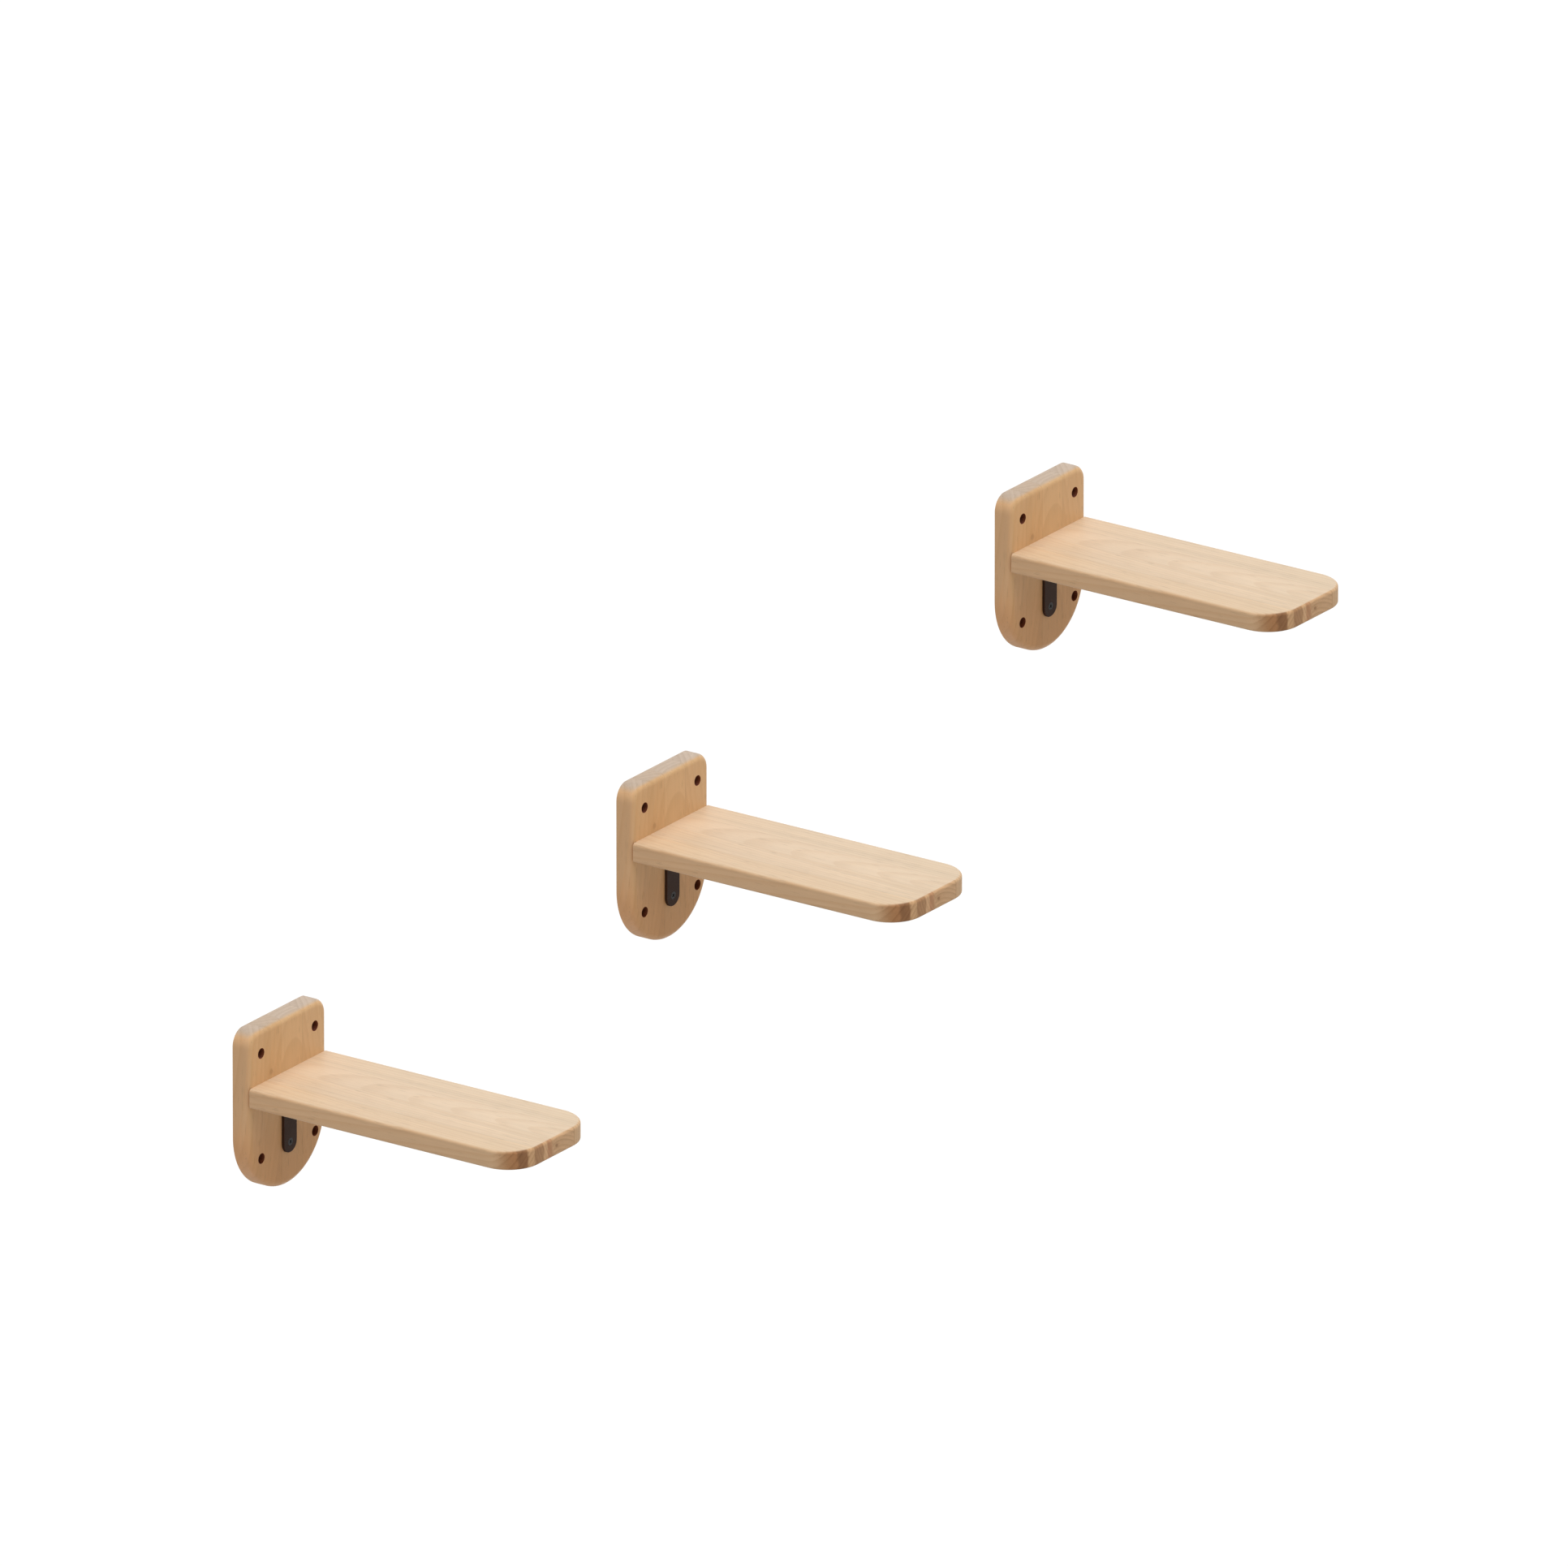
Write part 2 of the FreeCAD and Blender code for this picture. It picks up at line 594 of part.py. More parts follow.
def pair(body, sketch, axis, spacing):
    """Repeats the whole piece once, along an axis of one of its sketches."""
    return add_feature(
        body,
        "LinearPattern",
        "pair",
        TransformMode="Whole shape",
        Direction=(sketch, [axis]),
        Length=spacing,
        Occurrences=2,
    )


def bracket_plate_screws(doc, step, x, z):
    """Two short screws through the bracket's upright leg into the plate."""
    lower = PLATE_LEG_HOLES[0]
    place = (
        x,
        "-sizes.plate_thickness - sizes.bracket_gauge",
        f"{z} + {PLANK_UNDERSIDE} - ({lower})",
    )
    body = new_body(doc, f"{step}_bracket_plate_screws", place)
    face = wood_screw(body, "short")
    pair(body, face, "V_Axis", "sizes.bracket_hole_pitch")
    return body


def bracket_plank_screws(doc, step, x, z):
    """Two short screws up through the bracket's level leg into the plank."""
    inner = PLANK_LEG_HOLES[1]
    place = (
        x,
        f"-sizes.plate_thickness - ({inner})",
        f"{z} + {PLANK_UNDERSIDE} - sizes.bracket_gauge",
    )
    upward = Rotation(Vector(1, 0, 0), 90)
    body = new_body(doc, f"{step}_bracket_plank_screws", place, upward)
    face = wood_screw(body, "short")
    pair(body, face, "V_Axis", "sizes.bracket_hole_pitch")
    return body


def plank_screws(doc, step, x, z):
    """Two long screws from the plate's back into the plank's end grain."""
    place = (
        f"{x} + sizes.long_screw_across / 2",
        "-sizes.long_screw_sunk",
        f"{z} + {PLANK_MIDDLE}",
    )
    into_the_room = Rotation(Vector(0, 0, 1), 180)
    body = new_body(doc, f"{step}_plank_screws", place, into_the_room)
    face = wood_screw(body, "long")
    pair(body, face, "H_Axis", "sizes.long_screw_across")
    return body


def plank_dowels(doc, step, x, z):
    """Two fluted beech dowels, each part in the plate and part in the plank."""
    place = (
        f"{x} - sizes.dowel_across / 2",
        "sizes.dowel_in_plate - sizes.plate_thickness - sizes.dowel_length",
        f"{z} + {PLANK_MIDDLE}",
    )
    body = new_body(doc, f"{step}_plank_dowels", place)
    radius = "sizes.dowel_diameter / 2"
    bevel = "sizes.dowel_chamfer"
    end = f"{radius} - sizes.dowel_chamfer"
    far = "sizes.dowel_length - sizes.dowel_chamfer"
    length = "sizes.dowel_length"
    corners = [
        (0, 0),
        (body.evalExpression(end), 0),
        (body.evalExpression(radius), body.evalExpression(bevel)),
        (body.evalExpression(radius), body.evalExpression(far)),
        (body.evalExpression(end), body.evalExpression(length)),
        (0, body.evalExpression(length)),
    ]
    formulas = {
        (1, "X"): end,
        (2, "X"): radius,
        (2, "Y"): bevel,
        (3, "X"): radius,
        (3, "Y"): far,
        (4, "X"): end,
        (4, "Y"): length,
        (5, "Y"): length,
    }
    revolved(body, "dowel", corners, formulas)
    flute = circles(
        body, "flute_place", "XZ_Plane", None, [(None, radius)], "2 * sizes.dowel_flute_radius"
    )
    groove = add_feature(
        body, "Pocket", "flute", Profile=flute, Type="ThroughAll", Midplane=True
    )
    add_feature(
        body,
        "PolarPattern",
        "flutes",
        Originals=[groove],
        Axis=(flute, ["N_Axis"]),
        Angle=360,
        Occurrences="sizes.dowel_flutes",
    )
    pair(body, flute, "H_Axis", "sizes.dowel_across")
    return body


def check(doc, bodies):
    """Every object must have been computed, and every piece must be a sound solid."""
    doc.recompute()
    for item in doc.Objects:
        if "Invalid" in item.State or "Error" in item.State:
            raise RuntimeError(f"{item.Label} failed: {item.State}")
    for body, solids in bodies:
        shape = body.Shape
        if shape.isNull() or not shape.isValid() or len(shape.Solids) != solids:
            raise RuntimeError(f"{body.Label} isn't {solids} sound solids")


def main():
    doc = FreeCAD.newDocument("wall_steps")
    size_sheet(doc)
    pieces = (
        (wall_plate, 1),
        (step_plank, 1),
        (angle_bracket, 1),
        (bracket_plate_screws, 2),
        (bracket_plank_screws, 2),
        (plank_screws, 2),
        (plank_dowels, 2),
    )
    bodies = [
        (make(doc, step, x, z), solids)
        for step, (x, z) in STEPS.items()
        for make, solids in pieces
    ]
    check(doc, bodies)
    os.makedirs("parts", exist_ok=True)
    for body, solids in bodies:
        body.Shape.exportStep(f"parts/{body.Label}.step")
        box = body.Shape.BoundBox
        print(
            f"{body.Label}: {solids} solid(s), {body.Shape.Volume / 1000:.2f} cm3,"
            f" {box.XLength:.1f} x {box.YLength:.1f} x {box.ZLength:.1f} mm"
        )


main()
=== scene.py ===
# %% [markdown]
# # Three pine wall steps, dressed for a studio picture
# The CAD model gives every board, bracket and dowel its true shape and place, in metres. This lesson
# adds what a drawing can't hold: the growth rings of pine, a powder coat, threads on the screws, a
# lens far away and soft light from above. The set climbs from left to right: a lower, a middle and an
# upper step, each an upright wall plate with a plank that stands out from it.

# %% Load the frame
import json
import math

import bmesh
import bpy
from mathutils import Matrix, Vector


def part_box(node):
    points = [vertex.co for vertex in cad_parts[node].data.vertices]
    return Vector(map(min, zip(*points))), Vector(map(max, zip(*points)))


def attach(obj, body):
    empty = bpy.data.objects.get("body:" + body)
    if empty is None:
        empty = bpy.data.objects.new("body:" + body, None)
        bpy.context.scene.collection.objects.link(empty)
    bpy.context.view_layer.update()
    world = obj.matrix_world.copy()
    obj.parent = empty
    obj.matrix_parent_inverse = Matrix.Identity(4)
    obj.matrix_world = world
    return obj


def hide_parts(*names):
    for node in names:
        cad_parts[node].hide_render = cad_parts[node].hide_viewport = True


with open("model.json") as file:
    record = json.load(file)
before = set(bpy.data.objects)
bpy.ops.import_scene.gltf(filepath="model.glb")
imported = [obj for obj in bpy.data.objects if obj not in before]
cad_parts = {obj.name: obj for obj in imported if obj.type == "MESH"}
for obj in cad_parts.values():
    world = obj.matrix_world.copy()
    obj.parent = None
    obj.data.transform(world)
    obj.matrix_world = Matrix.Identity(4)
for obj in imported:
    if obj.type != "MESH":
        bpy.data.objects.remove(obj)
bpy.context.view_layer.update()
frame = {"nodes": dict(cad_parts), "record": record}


# %% [markdown]
# ## Where each step hangs
# The three steps are copies of one step, so the grain can be planned once, for a step whose wall
# screws are centred on the origin, and then moved. The record of the CAD model says where the screw
# patterns are, which is safer than typing the numbers again.

# %% Places of the steps
STEPS = ("lower", "middle", "upper")
PLACES = {
    mount["name"].split("_")[0]: Vector(mount["pos_m"])
    for mount in frame["record"]["mounts"]
    if mount["name"].endswith("_wall_holes")
}
for step in STEPS:
    print(step, "step hangs at", tuple(round(v, 4) for v in PLACES[step]))

# %% [markdown]
# ## The camera
# The picture shows the steps with almost no perspective: far edges are as long as near ones. A lens
# on the wall's left, far away and very long, gives that. It stands 55 degrees round from straight on
# and 21 degrees up. An orthographic camera would do too, but a real lens keeps a trace of depth.

# %% Camera
PICTURE_WIDTH = 1932
FOCAL_PIXELS = 75790
SENSOR = 36.0
DISTANCE = 55.0
TARGET = Vector((0.0128, -0.1320, 0.0813))
AZIMUTH = math.radians(-55.36)
ELEVATION = math.radians(20.86)

back = Vector(
    (
        math.sin(AZIMUTH) * math.cos(ELEVATION),
        -math.cos(AZIMUTH) * math.cos(ELEVATION),
        math.sin(ELEVATION),
    )
)
lens = bpy.data.cameras.new("long_lens")
lens.sensor_width = SENSOR
lens.lens = FOCAL_PIXELS * SENSOR / PICTURE_WIDTH
lens.clip_start = 1.0
lens.clip_end = 200.0
camera = bpy.data.objects.new("long_lens", lens)
camera.location = TARGET + back * DISTANCE
camera.rotation_euler = back.to_track_quat("Z", "Y").to_euler()
scene = bpy.context.scene
scene.collection.objects.link(camera)
scene.camera = camera
scene.view_settings.view_transform = "Standard"
print("lens of", round(lens.lens), "mm at", tuple(round(v, 2) for v in camera.location))

# %% [markdown]
# ## A wiring helper
# Materials here are built by code, and the same few moves come back again and again: add a node, set
# or link its inputs, take its result. One small class does them, so that each material below reads
# like a recipe. A plain number goes straight on the socket, and a socket is linked.


# %% Wiring helper
class Wiring:
    """Adds nodes to one tree. Each method gives back the socket that holds its result."""

    def __init__(self, tree):
        self.tree = tree

    def feed(self, socket, value):
        if isinstance(value, bpy.types.NodeSocket):
            self.tree.links.new(value, socket)
        else:
            socket.default_value = value

    def node(self, kind, inputs=None, **settings):
        made = self.tree.nodes.new(kind)
        for name, value in settings.items():
            setattr(made, name, value)
        for key, value in (inputs or {}).items():
            self.feed(made.inputs[key], value)
        return made

    def math(self, operation, *values, clamp=False):
        inputs = dict(enumerate(values))
        return self.node("ShaderNodeMath", inputs, operation=operation, use_clamp=clamp).outputs[0]

    def vector(self, operation, *values):
        made = self.node("ShaderNodeVectorMath", dict(enumerate(values)), operation=operation)
        return made.outputs["Value" if operation in ("LENGTH", "DOT_PRODUCT") else "Vector"]

    def scaled(self, vector, factor):
        inputs = {0: vector, "Scale": factor}
        return self.node("ShaderNodeVectorMath", inputs, operation="SCALE").outputs["Vector"]

    def split(self, vector):
        return self.node("ShaderNodeSeparateXYZ", {0: vector}).outputs

    def joined(self, x, y, z):
        return self.node("ShaderNodeCombineXYZ", {0: x, 1: y, 2: z}).outputs[0]

    def noise(self, vector, scale, detail=2.0, roughness=0.5, colour=False):
        inputs = {"Vector": vector, "Scale": scale, "Detail": detail, "Roughness": roughness}
        return self.node("ShaderNodeTexNoise", inputs).outputs[1 if colour else 0]

    def step(self, value, low, high, start=0.0, end=1.0):
        inputs = {0: value, 1: low, 2: high, 3: start, 4: end}
        made = self.node("ShaderNodeMapRange", inputs, interpolation_type="SMOOTHSTEP")
        return made.outputs[0]

    def mix(self, factor, a, b, blend="MIX"):
        inputs = {0: factor, 6: a, 7: b}
        made = self.node("ShaderNodeMix", inputs, data_type="RGBA", blend_type=blend)
        return made.outputs[2]

    def ramp(self, value, stops, interpolation="LINEAR"):
        made = self.node("ShaderNodeValToRGB", {0: value})
        band = made.color_ramp
        band.interpolation = interpolation
        while len(band.elements) < len(stops):
            band.elements.new(1.0)
        for element, (place, colour) in zip(band.elements, stops):
            element.position = place
            element.color = (*colour, 1.0)
        return made.outputs[0]

    def group(self, tree, **inputs):
        made = self.node("ShaderNodeGroup", node_tree=tree)
        for name, value in inputs.items():
            self.feed(made.inputs[name.replace("_", " ")], value)
        return made.outputs


def new_group(name, inputs, outputs):
    """A shader node group: its wiring, the sockets that come in and the sockets that go out."""
    tree = bpy.data.node_groups.new(name, "ShaderNodeTree")
    for label, start in inputs.items():
        kind = "NodeSocketVector" if isinstance(start, tuple) else "NodeSocketFloat"
        socket = tree.interface.new_socket(name=label, in_out="INPUT", socket_type=kind)
        socket.default_value = start
    for label in outputs:
        tree.interface.new_socket(name=label, in_out="OUTPUT", socket_type="NodeSocketFloat")
    source = tree.nodes.new("NodeGroupInput")
    sink = tree.nodes.new("NodeGroupOutput")
    return Wiring(tree), source.outputs, sink.inputs


# %% [markdown]
# ## Growth rings
# A plank is a slice of a trunk, so its rings are cylinders round a heart that lies outside the board.
# Distance from that heart, divided by the width of a year, gives long stripes on the faces and arcs on
# the ends from one and the same formula, and they meet at the edges as they do in wood. A flat picture
# of grain could never do that. Each year runs from pale early wood to a narrow dark late band.
# A board is never sawn quite along its trunk, so the heart's depth changes from one end to the other,
# and the rings come out on the broad faces as long narrow arches.
# The group takes a place as across, through and along the board.

# %% Growth ring group
DRIFT_SCALE = (11.0, 11.0, 2.6)
HEART_SPREAD = 0.09
SHALLOWEST_HEART = 0.6
UNEVEN_YEARS = 1.6
LATE_WOOD_RISES = (0.30, 0.90)
LATE_WOOD_FALLS = (0.93, 1.0)

wire, given, result = new_group(
    "growth_rings",
    {
        "Place": (0.0, 0.0, 0.0),
        "Stave": 0.0,
        "Ring Width": 0.004,
        "Heart Depth": 0.05,
        "Lean": 0.1,
        "Wander": 0.004,
    },
    ("Late Wood", "Year Tone"),
)
seed = wire.math("MULTIPLY_ADD", given["Stave"], 7.31, 2.17)
slow = wire.vector("MULTIPLY", given["Place"], DRIFT_SCALE)
slow = wire.vector("ADD", slow, wire.joined(seed, seed, seed))
drift = wire.vector("SUBTRACT", wire.noise(slow, 1.0, 2.0, colour=True), (0.5, 0.5, 0.5))
bent = wire.vector("ADD", given["Place"], wire.scaled(drift, given["Wander"]))
chance = wire.node("ShaderNodeTexWhiteNoise", {"W": seed}, noise_dimensions="1D").outputs[0]
heart_across = wire.math("MULTIPLY", wire.math("SUBTRACT", chance, 0.5), HEART_SPREAD)
flipped = wire.math("MULTIPLY_ADD", wire.math("MODULO", given["Stave"], 2.0), 2.0, -1.0)
heart_depth = wire.math("ADD", SHALLOWEST_HEART, chance)
heart_depth = wire.math("MULTIPLY", given["Heart Depth"], heart_depth)
lean = wire.math("MULTIPLY", given["Lean"], wire.split(given["Place"])[2])
heart_depth = wire.math("ADD", heart_depth, lean)
heart = wire.joined(heart_across, wire.math("MULTIPLY", heart_depth, flipped), 0.0)
arm = wire.vector("MULTIPLY", wire.vector("SUBTRACT", bent, heart), (1.0, 1.0, 0.0))
years = wire.math("DIVIDE", wire.vector("LENGTH", arm), given["Ring Width"])
uneven = wire.noise(wire.joined(years, seed, 0.0), 0.55, 1.0)
years = wire.math("MULTIPLY_ADD", uneven, UNEVEN_YEARS, years)
part = wire.math("FRACT", years)
rise = wire.step(part, *LATE_WOOD_RISES)
fall = wire.step(part, *LATE_WOOD_FALLS, 1.0, 0.0)
wire.feed(result["Late Wood"], wire.math("MULTIPLY", rise, fall))
number = wire.math("ADD", wire.math("FLOOR", years), seed)
tone = wire.node("ShaderNodeTexWhiteNoise", {"W": number}, noise_dimensions="1D").outputs[0]
wire.feed(result["Year Tone"], tone)
growth_rings = wire.tree
print("growth ring group has", len(growth_rings.nodes), "nodes")

# %% [markdown]
# ## Fibres
# Between the rings, softwood is made of fibres finer than a hair, in bundles that run along the board,
# with a few short dark resin canals. Noise that is squeezed across the grain and stretched along it
# gives both: a broad streak that tints, and a fine one that also serves as relief under a low light.

# %% Fibre group
STREAKS = (230.0, 230.0, 4.5)
HAIRS = (1500.0, 1500.0, 40.0)
CANALS = (900.0, 900.0, 75.0)

wire, given, result = new_group(
    "fibres",
    {"Place": (0.0, 0.0, 0.0), "Stave": 0.0},
    ("Streaks", "Hair", "Resin Canals"),
)
shift = wire.math("MULTIPLY", given["Stave"], 0.37)
moved = wire.vector("ADD", given["Place"], wire.joined(shift, shift, shift))
broad = wire.vector("MULTIPLY", moved, STREAKS)
wire.feed(result["Streaks"], wire.noise(broad, 1.0, 3.0, 0.6))
narrow = wire.vector("MULTIPLY", moved, HAIRS)
wire.feed(result["Hair"], wire.noise(narrow, 1.0, 3.0, 0.65))
short = wire.vector("MULTIPLY", moved, CANALS)
wire.feed(result["Resin Canals"], wire.step(wire.noise(short, 1.0, 0.0), 0.70, 0.80))
fibres = wire.tree
print("fibre group has", len(fibres.nodes), "nodes")

# %% [markdown]
# ## Staves
# Panels like these are glued up from narrow staves. At a joint the grain starts afresh, and the tone
# jumps a little, which shows as one straight line along the plank. Counting how many joints lie to the
# left of a point numbers its stave, and the distance to the nearest joint gives the glue line.

# %% Stave group
JOINTS = ("Joint 1", "Joint 2", "Joint 3")
GLUE_LINE_FADES = (0.00008, 0.0004)

wire, given, result = new_group(
    "staves",
    {"Across": 0.0, "Joint 1": -0.03, "Joint 2": 0.0, "Joint 3": 0.03},
    ("Stave", "Glue Line"),
)
count = 0.0
nearest = 1.0
for label in JOINTS:
    passed = wire.math("GREATER_THAN", given["Across"], given[label])
    count = wire.math("ADD", passed, count)
    gap = wire.math("ABSOLUTE", wire.math("SUBTRACT", given["Across"], given[label]))
    nearest = wire.math("MINIMUM", gap, nearest)
wire.feed(result["Stave"], count)
wire.feed(result["Glue Line"], wire.step(nearest, *GLUE_LINE_FADES, 1.0, 0.0))
staves = wire.tree
print("stave group has", len(staves.nodes), "nodes")

# %% [markdown]
# ## Broad faces, narrow edges and ends
# A board looks different on each of its three kinds of face. Cut across, the wood drinks more oil and
# turns darker and redder. Its narrow edges get painted shading: a warmer, darker tint for the shade on
# the plank's sides, a lighter one for the light that catches the plate's sides. How far a surface faces
# along each of the board's own axes tells them apart, and the change fades in round a corner as the cut
# turns, between two values that each board chooses. The rounded edges between them are left smoother
# by sandpaper and hands.

# %% Face group
PAINTED_SIDE_SHADING_FROM = (0.30, 0.95)
ROUNDING_STARTS = (0.08, 0.30)
ROUNDING_ENDS = (0.90, 0.99)

wire, given, result = new_group(
    "board_faces",
    {
        "Normal": (0.0, 0.0, 1.0),
        "Across": (1.0, 0.0, 0.0),
        "Through": (0.0, 0.0, 1.0),
        "Along": (0.0, 1.0, 0.0),
        "Cut Starts": 0.25,
        "Cut Ends": 0.92,
    },
    ("End Grain", "Painted Side Shading", "Rounded Edge"),
)


def facing(axis):
    return wire.math("ABSOLUTE", wire.vector("DOT_PRODUCT", given["Normal"], given[axis]))


cut_across = wire.step(facing("Along"), given["Cut Starts"], given["Cut Ends"])
wire.feed(result["End Grain"], cut_across)
# The narrow edges' mask carries painted shading: the light and shade that fall on a board's sides.
wire.feed(result["Painted Side Shading"], wire.step(facing("Across"), *PAINTED_SIDE_SHADING_FROM))
broad = facing("Through")
off_the_edge = wire.step(broad, *ROUNDING_STARTS)
off_the_face = wire.step(broad, *ROUNDING_ENDS, 1.0, 0.0)
wire.feed(result["Rounded Edge"], wire.math("MULTIPLY", off_the_edge, off_the_face))
board_faces = wire.tree
print("face group has", len(board_faces.nodes), "nodes")

# %% [markdown]
# ## Pin knots
# Even clear pine has a pin knot here and there, a dark eye a few millimetres wide. A squeezed distance
# from its middle gives the eye, with a fainter ring of disturbed grain round it.

# %% Knot group
EYE_FADES = (0.35, 1.0)
HALO_FADES = (0.9, 2.6)

wire, given, result = new_group(
    "pin_knot",
    {
        "Place": (0.0, 0.0, 0.0),
        "Middle": (0.0, 0.0, 0.0),
        "Squeeze": (1.0, 1.0, 1.0),
        "Size": 0.003,
    },
    ("Eye", "Halo"),
)
off = wire.vector("SUBTRACT", given["Place"], given["Middle"])
off = wire.vector("MULTIPLY", off, given["Squeeze"])
rough_edge = wire.math("MULTIPLY_ADD", wire.noise(given["Place"], 420.0), 0.9, 0.55)
rough_size = wire.math("MULTIPLY", given["Size"], rough_edge)
away = wire.math("DIVIDE", wire.vector("LENGTH", off), rough_size)
wire.feed(result["Eye"], wire.step(away, *EYE_FADES, 1.0, 0.0))
wire.feed(result["Halo"], wire.step(away, *HALO_FADES, 1.0, 0.0))
pin_knot = wire.tree
print("knot group has", len(pin_knot.nodes), "nodes")

# %% [markdown]
# ## Handling
# Nothing that has been sanded, oiled or coated and then picked up is even. Slow clouds change the tone
# by a few parts in a hundred, and a finer layer changes the gloss, as fingers and a cloth do. All the
# materials share this group, each with its own strength.

# %% Handling group
wire, given, result = new_group(
    "handling", {"Place": (0.0, 0.0, 0.0), "Amount": 0.05}, ("Tone", "Gloss")
)
cloud = wire.math("SUBTRACT", wire.noise(given["Place"], 14.0, 3.0, 0.55), 0.5)
wire.feed(result["Tone"], wire.math("MULTIPLY_ADD", cloud, given["Amount"], 1.0))
smear = wire.math("SUBTRACT", wire.noise(given["Place"], 85.0, 4.0, 0.6), 0.5)
wire.feed(result["Gloss"], wire.math("MULTIPLY", smear, given["Amount"]))
handling = wire.tree
print("handling group has", len(handling.nodes), "nodes")

# %% [markdown]
# ## Reading the grain of a board
# Plank and plate are the same wood cut two ways. The plank's grain runs out from the wall and the
# plate's runs upright, so each turns a point of the step into across, through and along in its own way.
# One function asks every group about that point and keeps the answers under the groups' own names.

# %% Grain of a board
AXES = {"X": (1.0, 0.0, 0.0), "Y": (0.0, 1.0, 0.0), "Z": (0.0, 0.0, 1.0)}
RING_WANDER = 0.012
HANDLED = 0.16


def new_material(name):
    material = bpy.data.materials.new(name)
    material.use_nodes = True
    material.node_tree.nodes.clear()
    return material, Wiring(material.node_tree)


def grey(wire, value):
    return wire.joined(value, value, value)


def read_grain(wire, place, look):
    """Every group's answer at a point of one board. Its order names across, through and along."""
    coordinates = wire.node("ShaderNodeTexCoord").outputs
    local = wire.vector("SUBTRACT", coordinates["Object"], tuple(place))
    axis = dict(zip("XYZ", wire.split(local)))
    order = look["order"]
    across, through, along = (axis[letter] for letter in order)
    board = wire.joined(across, through, along)
    joints = {f"Joint_{number}": joint for number, joint in enumerate(look["joints"], start=1)}
    count = wire.group(staves, Across=across, **joints)
    stave = count["Stave"]
    answers = (
        count,
        wire.group(growth_rings, Place=board, Stave=stave, Wander=RING_WANDER, **look["rings"]),
        wire.group(fibres, Place=board, Stave=stave),
        wire.group(
            board_faces,
            Normal=coordinates["Normal"],
            Across=AXES[order[0]],
            Through=AXES[order[1]],
            Along=AXES[order[2]],
            Cut_Starts=look["cut"][0],
            Cut_Ends=look["cut"][1],
        ),
        wire.group(pin_knot, Place=board, **look["knot"]),
        wire.group(handling, Place=local, Amount=HANDLED),
    )
    grain = {socket.name: socket for outputs in answers for socket in outputs}
    grain.update(axis, board=board, across=across, along=along)
    return grain


print("a board's grain wanders by up to", RING_WANDER * 500, "mm")

# %% [markdown]
# ## The colours of pine
# Colours are mixed in the order in which they arise: early and late wood, the tint of each stave, one
# year against the next, streaks, resin, the glue line and the clouds of handling. A second ramp runs
# lengthwise and paints shade: it darkens and warms the plate below its plank, and the plank a little at
# both its ends. The ends come from a ramp across the board, because each stave is another piece of
# timber and drinks in its own way. Knots and the shade painted in the screw holes lie on top of all
# that.


# %% Pine colours
KNOT_RING = (0.50, 0.27, 0.12, 1.0)
KNOT_EYE = (0.22, 0.09, 0.035, 1.0)
BANDS_PER_METRE = 8.0
BANDS_AT_MIDDLE = 0.484
RAGGED_BY = 0.004
MIDDLE_OF_BOARD = (0.4, 0.6)
TONES = {
    "Year Tone": (0.07, 0.965),
    "Streaks": (0.16, 0.92),
    "Resin Canals": (-0.13, 1.0),
    "Glue Line": (-0.10, 1.0),
}


def face_colour(wire, grain, look):
    early, late = ((*look[name], 1.0) for name in ("early", "late"))
    colour = wire.mix(wire.math("MULTIPLY", grain["Late Wood"], look["contrast"]), early, late)
    which = wire.math("MULTIPLY_ADD", grain["Stave"], 0.25, 0.125)
    stops = [(0.25 * number, tint) for number, tint in enumerate(look["tints"])]
    colour = wire.mix(1.0, colour, wire.ramp(which, stops, "CONSTANT"), "MULTIPLY")
    tone = grain["Tone"]
    for name, (change, start) in TONES.items():
        tone = wire.math("MULTIPLY", tone, wire.math("MULTIPLY_ADD", grain[name], change, start))
    return wire.mix(1.0, colour, grey(wire, tone), "MULTIPLY")


def lengthwise(wire, grain, look):
    """0 at the board's one end and 1 at its other end."""
    start, end = look["reach"]
    return wire.math("MULTIPLY_ADD", grain["along"], 1 / (end - start), start / (start - end))


def end_colour(wire, grain, look, colour):
    ragged = wire.noise(grain["board"], 160.0)
    ragged = wire.math("MULTIPLY_ADD", ragged, RAGGED_BY, grain["across"])
    ragged = wire.math("MULTIPLY_ADD", ragged, BANDS_PER_METRE, BANDS_AT_MIDDLE)
    band = wire.ramp(ragged, look["bands"], "EASE")
    which_end = wire.step(lengthwise(wire, grain, look), *MIDDLE_OF_BOARD)
    first, last = ((*tint, 1.0) for tint in look["end_tints"])
    band = wire.mix(1.0, band, wire.mix(which_end, first, last), "MULTIPLY")
    dark_rings = wire.math("MULTIPLY_ADD", grain["Late Wood"], look["end_rings"], 1.0)
    band = wire.mix(1.0, band, grey(wire, dark_rings), "MULTIPLY")
    return wire.mix(1.0, colour, band, "MULTIPLY")


def pine_colour(wire, grain, look):
    colour = face_colour(wire, grain, look)
    # Painted shade lengthwise: darker and warmer on the plate below its plank, a little darker on the
    # plank at both ends.
    painted_shade = wire.ramp(lengthwise(wire, grain, look), look["painted_shade"], "EASE")
    colour = wire.mix(1.0, colour, painted_shade, "MULTIPLY")
    # Painted shading on the narrow edges: warmer and darker for the shade on the plank's sides, lighter
    # for the light on the plate's sides.
    edge = wire.mix(1.0, colour, (*look["painted_side_shading"], 1.0), "MULTIPLY")
    end = end_colour(wire, grain, look, colour)
    colour = wire.mix(grain["Painted Side Shading"], colour, edge)
    colour = wire.mix(grain["End Grain"], colour, end)
    halo, eye = look["knot_depth"]
    colour = wire.mix(wire.math("MULTIPLY", grain["Halo"], halo), colour, KNOT_RING)
    return wire.mix(wire.math("MULTIPLY", grain["Eye"], eye), colour, KNOT_EYE)


